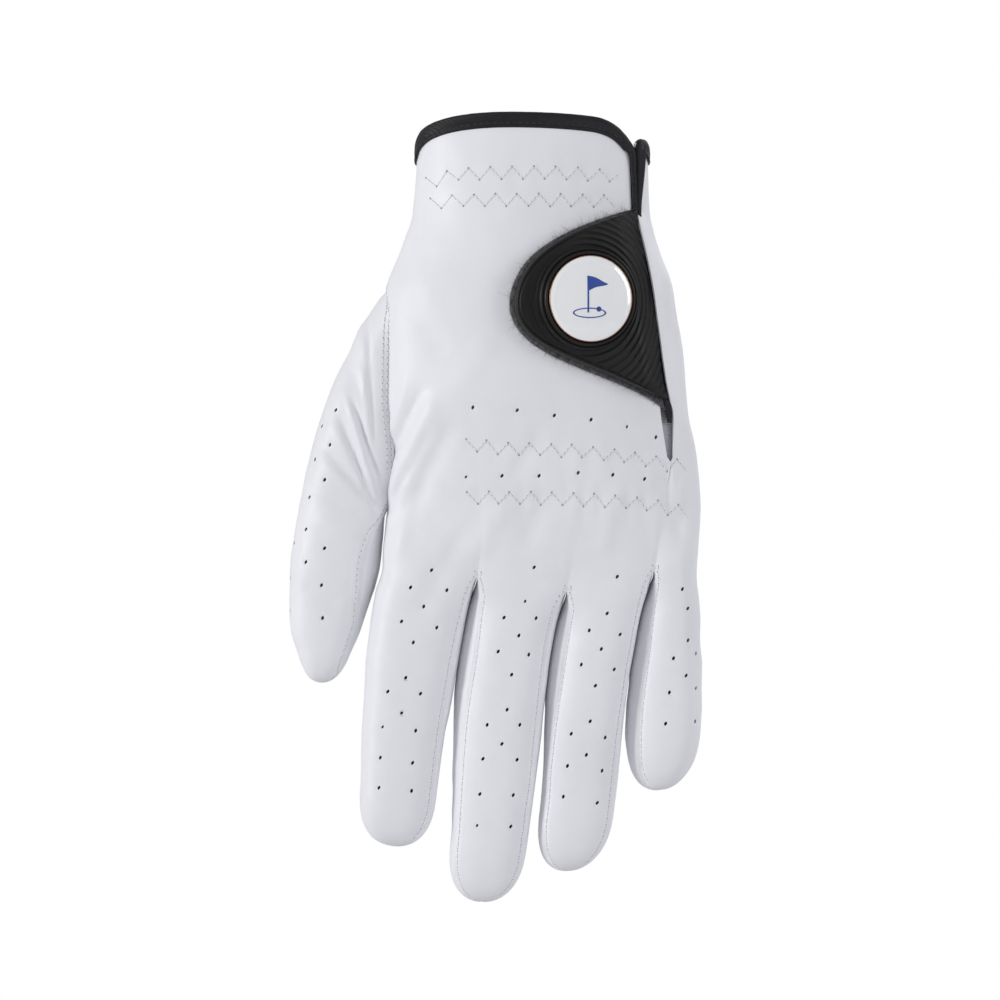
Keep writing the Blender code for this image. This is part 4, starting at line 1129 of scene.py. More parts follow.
HOOK = shader(
    "hook_grey", colour=(0.10, 0.10, 0.11), rough=0.7, spread=0.3, scale=600, grain=0.6,
    grain_scale=1300)
ELASTIC = shader(
    "elastic_white", colour=(0.60, 0.60, 0.64), rough=0.8, spread=0.08, scale=200, grain=0.6,
    stripes=("X", 420.0, 0.4), sheen=0.2)
STRETCH = shader(
    "stretch_grey", colour=(0.40, 0.41, 0.45), rough=0.85, spread=0.1, scale=300, grain=0.6,
    stripes=("Z", 420.0, 0.6), sheen=0.2)
NICKEL = shader(
    "magnet_nickel", colour=(0.62, 0.62, 0.62), rough=0.28, metal=1.0, spread=0.08, scale=200,
    grain=0.06, stripes=("X", 500.0, 2.0))
COPPER = shader(
    "rim_copper", colour=(0.46, 0.25, 0.15), rough=0.26, metal=1.0, spread=0.1, scale=300,
    grain=0.05, grain_scale=1500)
ENAMEL = shader(
    "dome_white", colour=(0.90, 0.91, 0.92), rough=0.10, spread=0.02, scale=120, grain=0.015,
    grain_scale=300, coat=1.0)
BLUE = shader(
    "inlay_blue", colour=(0.018, 0.06, 0.32), rough=0.18, spread=0.15, scale=400, grain=0.02,
    grain_scale=600, coat=0.6)

# ---------------------------------------------------------------- making objects
collection = bpy.data.collections.new("glove_pieces")
bpy.context.scene.collection.children.link(collection)


def mesh_object(name, verts, faces, *materials, index=None, loop_normals=None, smoothed=True):
    mesh = bpy.data.meshes.new(name)
    mesh.from_pydata((np.asarray(verts, float) * MM).tolist(), [], faces)
    for material in materials:
        mesh.materials.append(material)
    if index is not None:
        mesh.polygons.foreach_set("material_index", np.asarray(index, np.int32))
    mesh.polygons.foreach_set("use_smooth", np.full(len(mesh.polygons), smoothed))
    mesh.update()
    if loop_normals is not None:
        mesh.normals_split_custom_set(loop_normals)
    obj = bpy.data.objects.new(name, mesh)
    collection.objects.link(obj)
    return obj


def face_outward(obj, weld=False):
    """Turns all faces outward, after joining doubled points if asked."""
    bm = bmesh.new()
    bm.from_mesh(obj.data)
    if weld:
        bmesh.ops.remove_doubles(bm, verts=bm.verts[:], dist=1e-7)
    bmesh.ops.recalc_face_normals(bm, faces=bm.faces[:])
    bm.to_mesh(obj.data)
    bm.free()


def register(obj, slot, *nodes):
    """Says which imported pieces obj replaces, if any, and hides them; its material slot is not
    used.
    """
    if nodes:
        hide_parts(*nodes)


def shell(name, points, normals, quads, tris, thickness, material):
    """A closed body: the surface, its inner side, and a rim along every open edge."""
    used = np.unique(np.concatenate((quads.ravel(), tris.ravel())))
    number = -np.ones(len(points), int)
    number[used] = np.arange(len(used))
    outer_points, outer_normals = points[used], normals[used]
    count = len(used)
    deep = np.broadcast_to(thickness, len(points))[used][:, None]
    verts = np.concatenate((outer_points, outer_points - outer_normals * deep))
    outer = number[quads].tolist() + number[tris].tolist()
    inner = [[v + count for v in reversed(face)] for face in outer]
    rim = [[b, a, a + count, b + count] for a, b in open_edges(outer)]
    loops = [outer_normals[v] for face in outer for v in face]
    loops += [-outer_normals[v - count] for face in inner for v in face]
    for face in rim:
        a, b, c, d = verts[face]
        normal = np.cross(c - a, d - b)
        loops += [normal / max(1e-12, np.linalg.norm(normal))] * 4
    return mesh_object(name, verts, outer + inner + rim, material, loop_normals=np.asarray(loops))


def frame_point(across, along):
    x, z = to_xz(across, along)
    return (x * MM, 0.0, z * MM)


def settle(obj, piece):
    """Works out which two bodies the piece lies between and where along the fingers' frame, then
    bakes obj's transform into its mesh.
    """
    if piece.startswith(("hand", "fourchette")):
        bodies, across, start, stop = ("hand", "knuckles"), 0, -6, 26
    elif piece.startswith("thumb_root"):
        bodies, across, start, stop = ("hand", "thumb_base"), -55, -5, 17
    elif piece.startswith("thumb_end"):
        bodies, across, start, stop = ("thumb_base", "thumb_tip"), -55, 22, 46
    else:
        name = piece.split("_")[0]
        finger = next(f for f in FINGERS if f.name == name)
        at_tip = piece.endswith("tip")
        bodies = (f"{name}_mid", f"{name}_tip") if at_tip else ("knuckles", f"{name}_mid")
        joint, reach = finger.joints[at_tip], finger.joint_reach[at_tip]
        across, start, stop = finger.joint_across, joint - reach, joint + reach
    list(bodies)
    frame_point(across, start)
    frame_point(across, stop)
    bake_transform(obj)


def object_title(piece):
    return piece.replace("fourchette", "fork_strip")


# ---------------------------------------------------------------- the hide
# The hide thins to a fifth at the crotches.
thin = np.zeros(len(points))
across, along = to_fingers(points[:, 0], points[:, 2])
for bound, crotch in zip(BOUNDS, CROTCHES):
    near = np.exp(-(((across - float(bound(crotch))) / 4.0) ** 2) - ((along - crotch) / 6.0) ** 2)
    thin = np.maximum(thin, near)

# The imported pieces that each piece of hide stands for.
STANDS = {
    "hand_back": ("back_panel", "knuckle_back"),
    "hand_palm": ("palm_panel", "knuckle_palm"),
    "thumb_root_hide": (
        "thumb_root", "thumb_base_back", "thumb_base_palm", "thumb_base_gusset"),
    "thumb_end_hide": ("thumb_tip_back", "thumb_tip_palm", "thumb_tip_gusset"),
}
STANDS.update((name, (name,)) for name in GAP_PIECES)
for finger in FINGERS:
    for ending, part in (("finger", "mid"), ("fingertip", "tip")):
        STANDS[f"{finger.name}_{ending}"] = tuple(
            node for node in frame["nodes"] if node.startswith(f"{finger.name}_{part}_"))
for piece in PIECES:
    hide = shell(
        object_title(piece), points, normals, quads[quad_names == piece],
        tris[tri_names == piece], SKIN * (1 - 0.8 * thin), LEATHER)
    settle(hide, piece)
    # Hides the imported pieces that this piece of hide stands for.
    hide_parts(*STANDS[piece])

# ---------------------------------------------------------------- stitching
ALL_NAMES = quad_names.tolist() + tri_names.tolist()
HIDE_TREE = BVHTree.FromPolygons(
    [Vector(v) for v in points], quads.tolist() + tris.tolist(), epsilon=0.0)


def drop(x, z):
    """The back's surface at x and z: point, normal and piece, or None."""
    hit, normal, face, _ = HIDE_TREE.ray_cast(Vector((x, -90.0, z)), Vector((0, 1.0, 0)))
    return None if hit is None else (np.array(hit), np.array(normal), ALL_NAMES[face])


def tube_faces(base, rows, sides):
    return [
        (base + i * sides + k, base + i * sides + (k + 1) % sides,
         base + (i + 1) * sides + (k + 1) % sides, base + (i + 1) * sides + k)
        for i in range(rows - 1) for k in range(sides)]


def capped_tube_faces(base, rows, sides):
    last = base + (rows - 1) * sides
    caps = [tuple(range(base + sides - 1, base - 1, -1)), tuple(range(last, last + sides))]
    return tube_faces(base, rows, sides) + caps


STITCH_SIDES, STITCH_HIGH, STITCH_LOW, STITCH_RADIUS = 6, 0.10, -0.12, 0.17
# Share of the stitch's length, height and share of its radius.
STITCH_SHAPE = (
    (0.0, STITCH_LOW, 0.5), (0.14, STITCH_HIGH * 0.55, 0.9), (0.5, STITCH_HIGH, 1.0),
    (0.86, STITCH_HIGH * 0.55, 0.9), (1.0, STITCH_LOW, 0.5))
# Sides of the painted shade discs at the needle holes.
HOLE_SHADE_SIDES = 7


class Sewing:
    """Stitches, and the painted shade discs at their needle holes, gathered by the piece they are
    sewn to.
    """

    def __init__(self):
        self.parts = {}

    def bag(self, piece):
        return self.parts.setdefault(piece, ([], [], []))

    def stitch(self, piece, start, end, normal, radius=STITCH_RADIUS):
        verts, faces, index = self.bag(piece)
        way = end - start
        length = np.linalg.norm(way)
        if length < 0.05:
            return
        way = way / length
        side = unit(np.cross(way, normal))
        up = np.cross(side, way)
        base = len(verts)
        for share, height, width in STITCH_SHAPE:
            centre = start + way * (length * share) + normal * height
            for k in range(STITCH_SIDES):
                angle = 2 * PI * k / STITCH_SIDES
                verts.append(
                    centre + side * (math.cos(angle) * radius * width)
                    + up * (math.sin(angle) * radius * width * 0.85))
        new = capped_tube_faces(base, len(STITCH_SHAPE), STITCH_SIDES)
        faces.extend(new)
        index.extend([0] * len(new))

    def pit(self, piece, centre, normal, radius):
        """Painted shade for a needle hole: a flat dark disc with a point below it, dark for the
        shade inside the hole.
        """
        verts, faces, index = self.bag(piece)
        first_way = np.cross(normal, (0.3, 0.2, 0.9))
        first_way = first_way / np.linalg.norm(first_way)
        second_way = np.cross(normal, first_way)
        base = len(verts)
        verts.append(centre + normal * 0.05)
        for k in range(HOLE_SHADE_SIDES):
            angle = 2 * PI * k / HOLE_SHADE_SIDES
            verts.append(
                centre + first_way * math.cos(angle) * radius
                + second_way * math.sin(angle) * radius + normal * 0.012)
        verts.append(centre - normal * 0.25)
        for k in range(HOLE_SHADE_SIDES):
            a, b = base + 1 + k, base + 1 + (k + 1) % HOLE_SHADE_SIDES
            faces.extend(((base, a, b), (base + HOLE_SHADE_SIDES + 1, b, a)))
            index.extend((1, 1))


def stitch_places(line, line_normals, pitch, share, start, uneven):
    """Start, end, normal and row number of running stitches along a line of points."""
    run = run_of(line)
    at = start
    while at + pitch * share < run[-1]:
        middle = at + pitch * share / 2
        yield (
            at_run(line, run, at), at_run(line, run, at + pitch * share),
            unit(at_run(line_normals, run, middle)), int(np.searchsorted(run, middle)))
        at += pitch * rng.uniform(0.96, 1.04) if uneven else pitch


sewing = Sewing()


def sew_beside(idx, side, distance, pieces, pitch=1.75, radius=STITCH_RADIUS):
    """Running stitches at a distance from a grid's left (0) or right (1) edge."""
    run = run_of(points[idx])
    line, line_normals = (
        np.array([
            at_run(values[row], lengths, lengths[-1] - distance if side else distance)
            for row, lengths in zip(idx, run)])
        for values in (points, normals))
    for start, end, normal, row in stitch_places(line, line_normals, pitch, 0.66, 0.4, True):
        piece = pieces[min(len(pieces) - 1, row)]
        sewing.stitch(piece, start, end, normal, radius)
        # A painted shade disc for the needle hole just before each stitch.
        sewing.pit(piece, start - (end - start) * 0.10, normal, 0.21)


def grid_pieces(n, palm, rows):
    return [finger_piece(FINGERS[n], v, hand_kind(palm)) for v in GRIDS[n, palm].along[rows]]


for n in range(4):
    for palm in (False, True):
        for side, gap in gaps_of(n):
            rows = slice(row_at(CROTCHES[gap] - 2), -5)
            sew_beside(GRIDS[n, palm].idx[rows], side, 0.95, grid_pieces(n, palm, rows))
# The thumb's own seams, then the hand's and the thumb's edges where they meet.
thumb_pieces = [thumb_piece(v) for v in THUMB.along]


def thumb_row(along):
    return int(np.argmin(np.abs(THUMB.along - along)))


for side in (0, 1):
    rows = slice(thumb_row(12), -5)
    sew_beside(THUMB.idx[rows], side, 0.95, thumb_pieces[rows])
for palm in (False, True):
    idx = GRIDS[0, palm].idx
    edge_z = points[idx[:, 0], 2]
    rows = np.flatnonzero((-104.5 < edge_z) & (edge_z < -45.5))
    sew_beside(idx[rows], 0, 0.85, grid_pieces(0, palm, rows), pitch=1.9)
    rows = slice(thumb_row(-48), thumb_row(5))
    for distance in (1.1, 2.5):
        sew_beside(
            THUMB.idx[rows], int(palm), distance, thumb_pieces[rows], pitch=1.9, radius=0.2)


def zigzag(row, high=1.75):
    """A zigzag of three stitches a leg across the back."""
    x, last_x = row.sewn
    corners = []
    while x < last_x:
        swing = high if len(corners) % 2 == 0 else -high
        corners.append(
            (x + rng.uniform(-0.2, 0.2), row.z_of(x) + swing + rng.uniform(-0.18, 0.18)))
        x += row.period / 2
    for (xa, za), (xb, zb) in zip(corners, corners[1:]):
        for k in range(3):
            first, last = k / 3 + 0.045, (k + 1) / 3 - 0.045
            start, end, middle, needle = (
                drop(xa + (xb - xa) * share, za + (zb - za) * share)
                for share in (first, last, (first + last) / 2, k / 3))
            if start is None or end is None or middle is None:
                continue
            sewing.stitch(middle[2], start[0], end[0], middle[1])
            # A painted shade disc at each needle hole, larger at the zigzag's corners.
            if needle is not None:
                sewing.pit(needle[2], needle[0], needle[1], 0.32 if k == 0 else 0.17)


for row in ELASTIC_ROWS:
    zigzag(row)
for piece, (verts, faces, index) in sorted(sewing.parts.items()):
    # The painted shade discs of the needle holes go in as the stitching's second material.
    stitching = mesh_object(
        object_title(piece) + "_stitching", verts, faces, THREAD, NEEDLE_HOLE_SHADE, index=index)
    settle(stitching, piece)


# ---------------------------------------------------------------- cuff and slit binding
def sweep(name, frames, outlines, material, body, wobble):
    """A closed band: (out, edge) outlines carried along frames of point, out and edge ways."""
    verts = []
    for i, ((point, out, edge), outline) in enumerate(zip(frames, outlines)):
        for k, (out_by, edge_by) in enumerate(outline):
            shake = wobble * math.sin(i * 0.9 + k * 0.7) * math.sin(i * 0.31 + 1.3)
            verts.append(point + out * (out_by + shake) + edge * (edge_by + shake * 0.6))
    sides = len(outlines[0])
    faces = tube_faces(0, len(frames), sides)
    faces.append(tuple(range(sides)))
    faces.append(tuple(reversed(range(len(verts) - sides, len(verts)))))
    obj = mesh_object(name, verts, faces, material)
    face_outward(obj)
    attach(obj, body)
    return obj


FULL_LEG = 2.8  # below this length the outline's details shrink with the leg


def tape_outline(leg, puff, top=0.9):
    """The folded tape over the hide's edge, with an outer leg of the given length."""
    out, part = SHEET + puff, min(1.0, leg / FULL_LEG)
    return (
        (out + 0.42, -leg), (out + 0.66, -leg + 0.12 * part), (out + 0.78, -leg + 0.5 * part),
        (out + 0.68, -leg + 1.05 * part), (out + 0.60, -leg + 1.35 * part),
        (out + 0.72, -leg + 1.7 * part), (out + 0.84, -0.9 * part), (out + 0.76, 0.1),
        (out + 0.42, top - 0.18), (0.4, top), (-0.1, top - 0.2), (-0.42, 0.1),
        (-0.52, -0.9 * part), (-0.50, -leg + 1.5 * part), (-0.52, -leg + 0.4 * part),
        (-0.4, -leg), (-0.12, -leg), (-0.02, -leg + 0.6 * part), (0.02, -0.5 * part),
        (0.2, -0.2 * part), (out - 0.2, -0.2 * part), (out + 0.10, -0.5 * part),
        (out + 0.14, -leg + 0.6 * part), (out + 0.2, -leg))


def out_at(phi, z):
    """The way out of the hand's section at phi."""
    before, after = (
        np.array([*map(float, section(phi + turn, z, 0.0)), 0.0]) for turn in (-0.02, 0.02))
    way = (after - before) / np.linalg.norm(after - before)
    out = np.array([way[1], -way[0], 0.0])
    x, y = map(float, section(phi, z, 0.0))
    return out if out @ np.array([x, y, 0.0]) > 0 else -out


# The tape's distance from the slit's line at the cuff, on the flap and on the back.
FLAP_AT, BACK_AT = 0.72, -0.62
# The tape's leg and place by z on the slit's two edges.
FLAP_LEG = curve((-25.6, 0.55), (-22, 0.7), (-17, 1.4), (-11.6, 2.2), (-7, 3.0), (-5, 3.3))
FLAP_SHIFT = curve((-25.6, 0.15), (-20, 0.45), (-10, FLAP_AT), (-5, FLAP_AT))
BACK_LEG = curve((-57, 1.1), (-20, 1.1), (-13, 1.15), (-8, 1.7), (-4, 2.8))


def slit_station(z, shift, turn, leg):
    """x, y, z, angle and leg of the tape on the slit's edge."""
    x = float(SLIT(z) + shift)
    return x, float(back_y(x, z, 0.0)), z, float(phi_at(x, z, 0.0)) + turn, float(leg)


def cuff_station(phi):
    z = float(cuff_z(phi)) - 0.4
    x, y = map(float, section(phi, z, 0.0))
    leg = 3.7
    if phi < PI / 2:
        distance = float(SLIT(z)) + BACK_AT - x
        z -= float(corner_fall("ring", distance))
        leg = 2.7 + 1.0 * float(smooth(distance / 8))
    elif phi > 2 * PI:
        distance = x - float(SLIT(z)) - FLAP_AT
        z -= float(corner_fall("little", distance))
        leg = 3.1 + 0.6 * float(smooth(distance / 4))
    return x, y, z, phi, leg


def tape_path():
    """Stations up the flap's edge, round the cuff and down the slit's other edge."""
    stations = [
        slit_station(z, FLAP_SHIFT(z), 2 * PI, FLAP_LEG(z)) for z in np.arange(-25.6, -5.6, 0.4)]
    last = float(phi_at(SLIT(-1) + BACK_AT, -1.0, 0.0))
    first = float(phi_at(SLIT(-5) + FLAP_AT, -5.0, 0.0)) + 2 * PI
    stations += [cuff_station(first + (last - first) * k / 600) for k in range(1, 600)]
    stations += [
        slit_station(z, BACK_AT, 0.0, BACK_LEG(z))
        for z in np.arange(stations[-1][2] - 0.5, -57.0, -0.4)]
    stations = np.array(stations)
    run = run_of(stations[:, :3])
    stations = at_run(stations, run, np.linspace(0, run[-1], int(run[-1] / 0.55)))
    # Two rounds of blur take the kinks out; the ends stay put.
    kernel = bell(np.arange(-4, 5), 2.2)
    kernel = kernel / kernel.sum()
    for _ in range(2):
        padded = np.pad(stations, ((4, 4), (0, 0)), mode="edge")
        blurred = np.stack([np.convolve(column, kernel, "valid") for column in padded.T], -1)
        stations[3:-3] = blurred[3:-3]
    return stations


def make_binding():
    stations = tape_path()
    tangents = np.gradient(stations[:, :3], axis=0)
    tangents = tangents / np.linalg.norm(tangents, axis=1)[:, None]
    frames, folds = [], []
    upward = 0.0
    for (x, y, z, phi, leg), tangent in zip(stations, tangents):
        out = out_at(phi, z)
        out = out - tangent * (out @ tangent)
        out = out / np.linalg.norm(out)
        edge = np.cross(out, tangent)
        frames.append((np.array([x, y, z]), out, edge))
        upward += edge[2] if leg > 3.5 else 0
        folds.append((leg, 0.30 * (1 - min(1.0, max(0.0, (leg - 2.2) / 1.4)))))
    sign = math.copysign(1.0, upward)
    frames = [(point, out, edge * sign) for point, out, edge in frames]
    outlines = [tape_outline(leg, puff) for leg, puff in folds]
    tape = sweep("cuff_and_slit_binding", frames, outlines, TAPE, "hand", 0.03)
    register(tape, "black_tape", "cuff_binding", "slit_binding_back", "slit_binding_flap")

    line = np.array([
        point + out * (SHEET + puff + 0.60) + edge * (-leg + 1.35 * min(1.0, leg / FULL_LEG))
        for (point, out, edge), (leg, puff) in zip(frames, folds)])
    bag = Sewing()
    outs = np.array([out for _, out, _ in frames])
    for start, end, normal, _ in stitch_places(line, outs, 1.9, 0.7, 0.3, False):
        bag.stitch("tape", start, end, normal)
    verts, faces, _ = bag.parts["tape"]
    thread = mesh_object("binding_stitching", verts, faces, TAPE_THREAD)
    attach(thread, "hand")


make_binding()


# ---------------------------------------------------------------- inside the back
def grid_shell(name, grid, material, thickness):
    """A closed sheet through a grid of points, thickened towards +Y."""
    verts = grid.reshape(-1, 3)
    idx = np.arange(len(verts)).reshape(grid.shape[:2])
    faces = np.stack((idx[:-1, :-1], idx[1:, :-1], idx[1:, 1:], idx[:-1, 1:]), -1).reshape(-1, 4)
    face_out = normals_of(verts, faces)
    if face_out[:, 1].mean() > 0:
        faces, face_out = faces[:, ::-1], -face_out
    return shell(name, verts, face_out, faces, np.zeros((0, 3), int), thickness, material)


def elastic_band(name, x0, x1, high, low, off, thickness, node, rib=1.5):
    """A ribbed band under the back between two lines of z, with thinned edges."""
    x, share = np.meshgrid(np.linspace(x0, x1, int((x1 - x0) / 0.45)), np.linspace(0, 1, 24))
    z = high(x) + (low(x) - high(x)) * share
    off = off + 0.10 * np.cos(2 * PI * x / rib) - 0.12 * (np.abs(2 * share - 1) ** 6)
    off = off + 0.06 * waves(x, x * 0, z, scale=7, seed=5)
    band = grid_shell(name, np.stack((x, back_y(x, z, off), z), -1), ELASTIC, thickness)
    register(band, "white_elastic", node)
    return band


band = elastic_band(
    "wrist_elastic_band", -28, 22, lambda x: -11.5 + 0 * x, lambda x: -23.0 + 0 * x,
    off=-0.15, thickness=0.7, node="wrist_elastic")
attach(band, "hand")
for letter, place, high, low in (("a", "upper", -12.0, -5.0), ("b", "lower", 1.5, 8.5)):
    band = elastic_band(
        f"knuckle_elastic_band_{letter}", -18.5, 34,
        lambda x: line_z(x, high), lambda x: line_z(x, low),
        off=-0.35, thickness=0.6, node=f"knuckle_elastic_{place}")
    settle(band, "hand_back")


def make_slit_gusset():
    side, z = np.meshgrid(np.linspace(-1, 1, 15), np.linspace(-58.0, -104.0, 60))
    half = curve((-104, 1.3), (-95, 2.3), (-58, 3.6))(z)
    x = SLIT(z) - 0.6 + half * side
    sag = 0.9 * (1 - side**2) * smooth((z + 104) / 20)
    off = -0.25 - sag + 0.05 * np.sin(z * 4)
    gusset = grid_shell(
        "slit_stretch_gusset", np.stack((x, back_y(x, z, off), z), -1), STRETCH, 0.45)
    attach(gusset, "hand")
    register(gusset, "white_elastic", "slit_gusset")


make_slit_gusset()

# ---------------------------------------------------------------- closure tab
# The marker's seat: its centre, its axis outward, and the two ways across it.
SEAT = np.array((15.534, -20.60, -49.43))
SEAT_OUT = np.array((0.292372, -0.956305, 0.0))
SEAT_ACROSS = np.array((-SEAT_OUT[1], SEAT_OUT[0], 0.0))
SEAT_UP = np.array((0.0, 0.0, 1.0))
# (x, z) outlines of the rubber moulding and of the loop patch.
MOULD = (
    (30.1, -23.3), (25.6, -24.6), (20.7, -26.3), (16.5, -27.7), (13.0, -29.2), (9.7, -30.8),
    (6.8, -32.4), (4.0, -34.3), (1.3, -36.4), (-1.3, -38.8), (-3.2, -41.9), (-4.8, -45.4),
    (-6.1, -49.1), (-6.0, -53.0), (-4.6, -56.6), (-2.3, -59.5), (0.9, -61.9), (3.8, -63.8),
    (7.1, -65.2), (10.3, -66.6), (13.6, -68.0), (17.1, -69.4), (21.2, -70.9), (26.3, -72.9),
    (30.4, -74.9), (35.0, -77.0), (38.4, -78.6), (39.5, -78.0), (39.2, -74.5), (37.7, -63.2),
    (35.1, -44.9), (32.8, -35.4))
MOULD_CORNERS = ((30.1, -23.3), (39.5, -78.0))
LOOPS = (
    (30.1, -22.9), (25.9, -23.9), (20.9, -25.6), (16.7, -27.0), (13.1, -28.5), (9.8, -30.1),
    (6.7, -31.6), (3.7, -33.5), (0.7, -35.6), (-2.2, -38.0), (-4.4, -41.3), (-6.0, -45.0),
    (-7.5, -49.0), (-7.4, -53.3), (-5.9, -57.2), (-3.2, -60.4), (0.1, -62.9), (3.2, -65.0),
    (6.6, -66.5), (9.8, -67.9), (13.1, -69.3), (16.7, -70.8), (20.8, -72.3), (25.9, -74.4),
    (30.1, -76.2), (35.1, -78.8), (39.4, -81.6), (40.0, -84.6), (39.4, -78.3), (37.7, -63.2),
    (35.1, -44.9), (32.8, -35.4))
LOOP_CORNERS = ((30.1, -22.9), (40.0, -84.6))
# x of the tab's sewn edge by z.
TAB_EDGE = curve(
    (-86, 40.2), (-76, 39.4), (-63.2, 37.7), (-44.9, 35.1), (-35.4, 32.8), (-23.3, 30.1))


def outline_of(outline, corners, inset=0.0):
    """The outline as angles and reaches about the seat, smoothed except at its corners."""
    closed = np.array(outline + outline[:1])
    run = run_of(closed)
    fine = at_run(closed, run, np.linspace(0, run[-1], 1600, endpoint=False))
    away = np.minimum.reduce([np.linalg.norm(fine - np.array(c), axis=1) for c in corners])
    share = smooth((away - 1.0) / 4.0)[:, None]
    for _ in range(60):
        average = (np.roll(fine, 6, 0) + np.roll(fine, -6, 0) + fine) / 3
        fine = fine * (1 - share) + share * average
    centre = SEAT[[0, 2]]
    if inset:
        way = np.roll(fine, -2, 0) - np.roll(fine, 2, 0)
        normal = np.stack((way[:, 1], -way[:, 0]), -1)
        normal = normal / np.maximum(np.linalg.norm(normal, axis=1), 1e-9)[:, None]
        fine = fine - normal * np.sign(((fine - centre) * normal).sum(1).mean()) * inset
    from_seat = fine - centre
    angles = np.arctan2(from_seat[:, 1], from_seat[:, 0])
    order = np.argsort(angles)
    angles, reach = angles[order], np.linalg.norm(from_seat, axis=1)[order]
    samples = list(np.linspace(-PI, PI, 420, endpoint=False))
    samples += [math.atan2(z - SEAT[2], x - SEAT[0]) for x, z in corners]
    samples = np.array(sorted(samples))
    around = np.concatenate((angles - 2 * PI, angles, angles + 2 * PI))
    return samples, np.interp(samples, around, np.tile(reach, 3))


def pad(name, angles, reach, low, high, material, rings, height=None, inner=0.0):
    """A closed layer round the seat between two heights over the hide.

    height(x, z, from_inner, from_edge) is added to the top; inner leaves a hole.
    """
    count = len(angles)
    # The seat's tilt makes its round hole narrower in x.
    start = np.zeros(count)
    if inner:
        start = inner / np.sqrt((np.cos(angles) / 0.956) ** 2 + np.sin(angles) ** 2)
    radius = start[None, :] + (reach - start)[None, :] * rings[:, None]
    x = SEAT[0] + radius * np.cos(angles)[None, :]
    z = SEAT[2] + radius * np.sin(angles)[None, :]
    # The sewn end goes down under the flap.
    tuck = smooth((x - TAB_EDGE(z) + 7.0) / 7.0)
    top = high * (1 - 0.7 * tuck)
    if height:
        top = top + height(x, z, radius - start[None, :], reach[None, :] - radius) * (
            1 - 0.45 * tuck)
    verts = np.concatenate([
        np.stack((x, back_y(x, z, SHEET + off), z), -1).reshape(-1, 3)
        for off in (top, low * (1 - 0.7 * tuck))])
    last = len(rings) - 1

    def at(i, j, below=0):
        return (below * (last + 1) + i) * count + (j % count)

    faces = []
    for i in range(last):
        for j in range(count):
            faces.append((at(i, j), at(i, j + 1), at(i + 1, j + 1), at(i + 1, j)))
            faces.append((at(i, j, 1), at(i + 1, j, 1), at(i + 1, j + 1, 1), at(i, j + 1, 1)))
    for j in range(count):
        faces.append((at(last, j), at(last, j + 1), at(last, j + 1, 1), at(last, j, 1)))
        if inner:
            faces.append((at(0, j + 1), at(0, j), at(0, j, 1), at(0, j + 1, 1)))
    obj = mesh_object(name, verts, faces, material)
    face_outward(obj, weld=True)
    return obj


# The hinge line along the tab's sewn edge, and the way from it onto the tab.
HINGE_TOP = np.array((30.8, -9.4, -23.2))
HINGE_DOWN = np.array((39.7, -9.4, -77.4)) - HINGE_TOP
HINGE_DOWN = HINGE_DOWN / np.linalg.norm(HINGE_DOWN)


def hinge(obj):
    """Bakes obj's transform into its mesh; nothing bends at the tab's sewn edge."""
    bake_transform(obj)


def moulded(x, z, from_seat, from_edge):
    """The moulding's face: waves round the bezel and a lip along the outline."""
    lip = 1 - np.clip(1 - from_edge / 1.3, 0, 1) ** 3
    height = 1.75 * lip - 0.35 * (1 - lip)
    right = smooth((x - SEAT[0] + 8) / 15)
    bearing = np.arctan2(z - SEAT[2], x - SEAT[0])
    # The waves spread apart above and, more so, below the seat.
    spread = np.where(bearing < 0, 1.15, 0.45) * np.sin(np.clip(bearing, -PI / 2, PI / 2)) ** 2
    pitch = 1.28 + spread
    turns = from_seat / pitch
    wave = np.exp(-(((turns - np.round(turns)) * pitch / 0.21) ** 2))
    # A plain border with one groove, all round but for the sewn end.
    border = np.maximum(1 - right, smooth((-58 - z) / 4))
    border = border * (1 - smooth((x - TAB_EDGE(z) + 2) / 1.5))
    fade = 1 - border * (1 - smooth((from_edge - 1.4) / 0.6))
    height = height - fade * (0.12 + 0.88 * right) * 0.42 * wave * smooth(from_seat / 1.2)
    height = height - 0.30 * border * bell(from_edge - 1.45, 0.26)
    return height + 0.5 * bell(from_seat, 1.2)


def strap_edge(x, z, from_seat, from_edge):
    return -0.25 * np.clip(1 - from_edge / 0.8, 0, 1) ** 2


def fuzzy(x, z, from_seat, from_edge):
    coarse = waves(x, x * 0, z, scale=2.2, seed=41, octaves=9) * 0.16
    fine = waves(x, x * 0, z, scale=0.9, seed=42, octaves=9) * 0.10
    return coarse + fine - 0.5 * np.clip(1 - from_edge / 1.1, 0, 1) ** 2


mould = pad(
    "tab_rubber_moulding", *outline_of(MOULD, MOULD_CORNERS), low=3.35, high=3.45,
    material=RUBBER, rings=np.linspace(0, 1, 190), height=moulded, inner=13.9)
hinge(mould)
register(mould, "black_rubber", "tab_moulding")
strap = pad(
    "tab_backing_strap", *outline_of(MOULD, MOULD_CORNERS, inset=0.35), low=2.45, high=3.32,
    material=TAPE, rings=np.linspace(0.02, 1, 24), height=strap_edge)
hinge(strap)
register(strap, "black_tape", "tab_strap")
hook_angles, hook_reach = outline_of(MOULD, MOULD_CORNERS, inset=2.6)
hooks = pad(
    "tab_hook_pad", hook_angles, hook_reach * 0.985, low=1.85, high=2.42, material=HOOK,
    rings=np.linspace(0.02, 1, 20))
hinge(hooks)
register(hooks, "grey_hook", "hook_pad")
loop_angles, loop_reach = outline_of(LOOPS, LOOP_CORNERS)
loop = pad(
    "loop_pile_patch", loop_angles, loop_reach, low=0.30, high=1.35, material=LOOP,
    rings=np.linspace(0.03, 1, 90), height=fuzzy)
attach(loop, "hand")
register(loop, "grey_loop", "loop_patch")

# ---------------------------------------------------------------- fibres and hooks
HAIR_SIDES = 3
HAIR_STEPS = (0.0, 0.4, 0.75, 1.0)


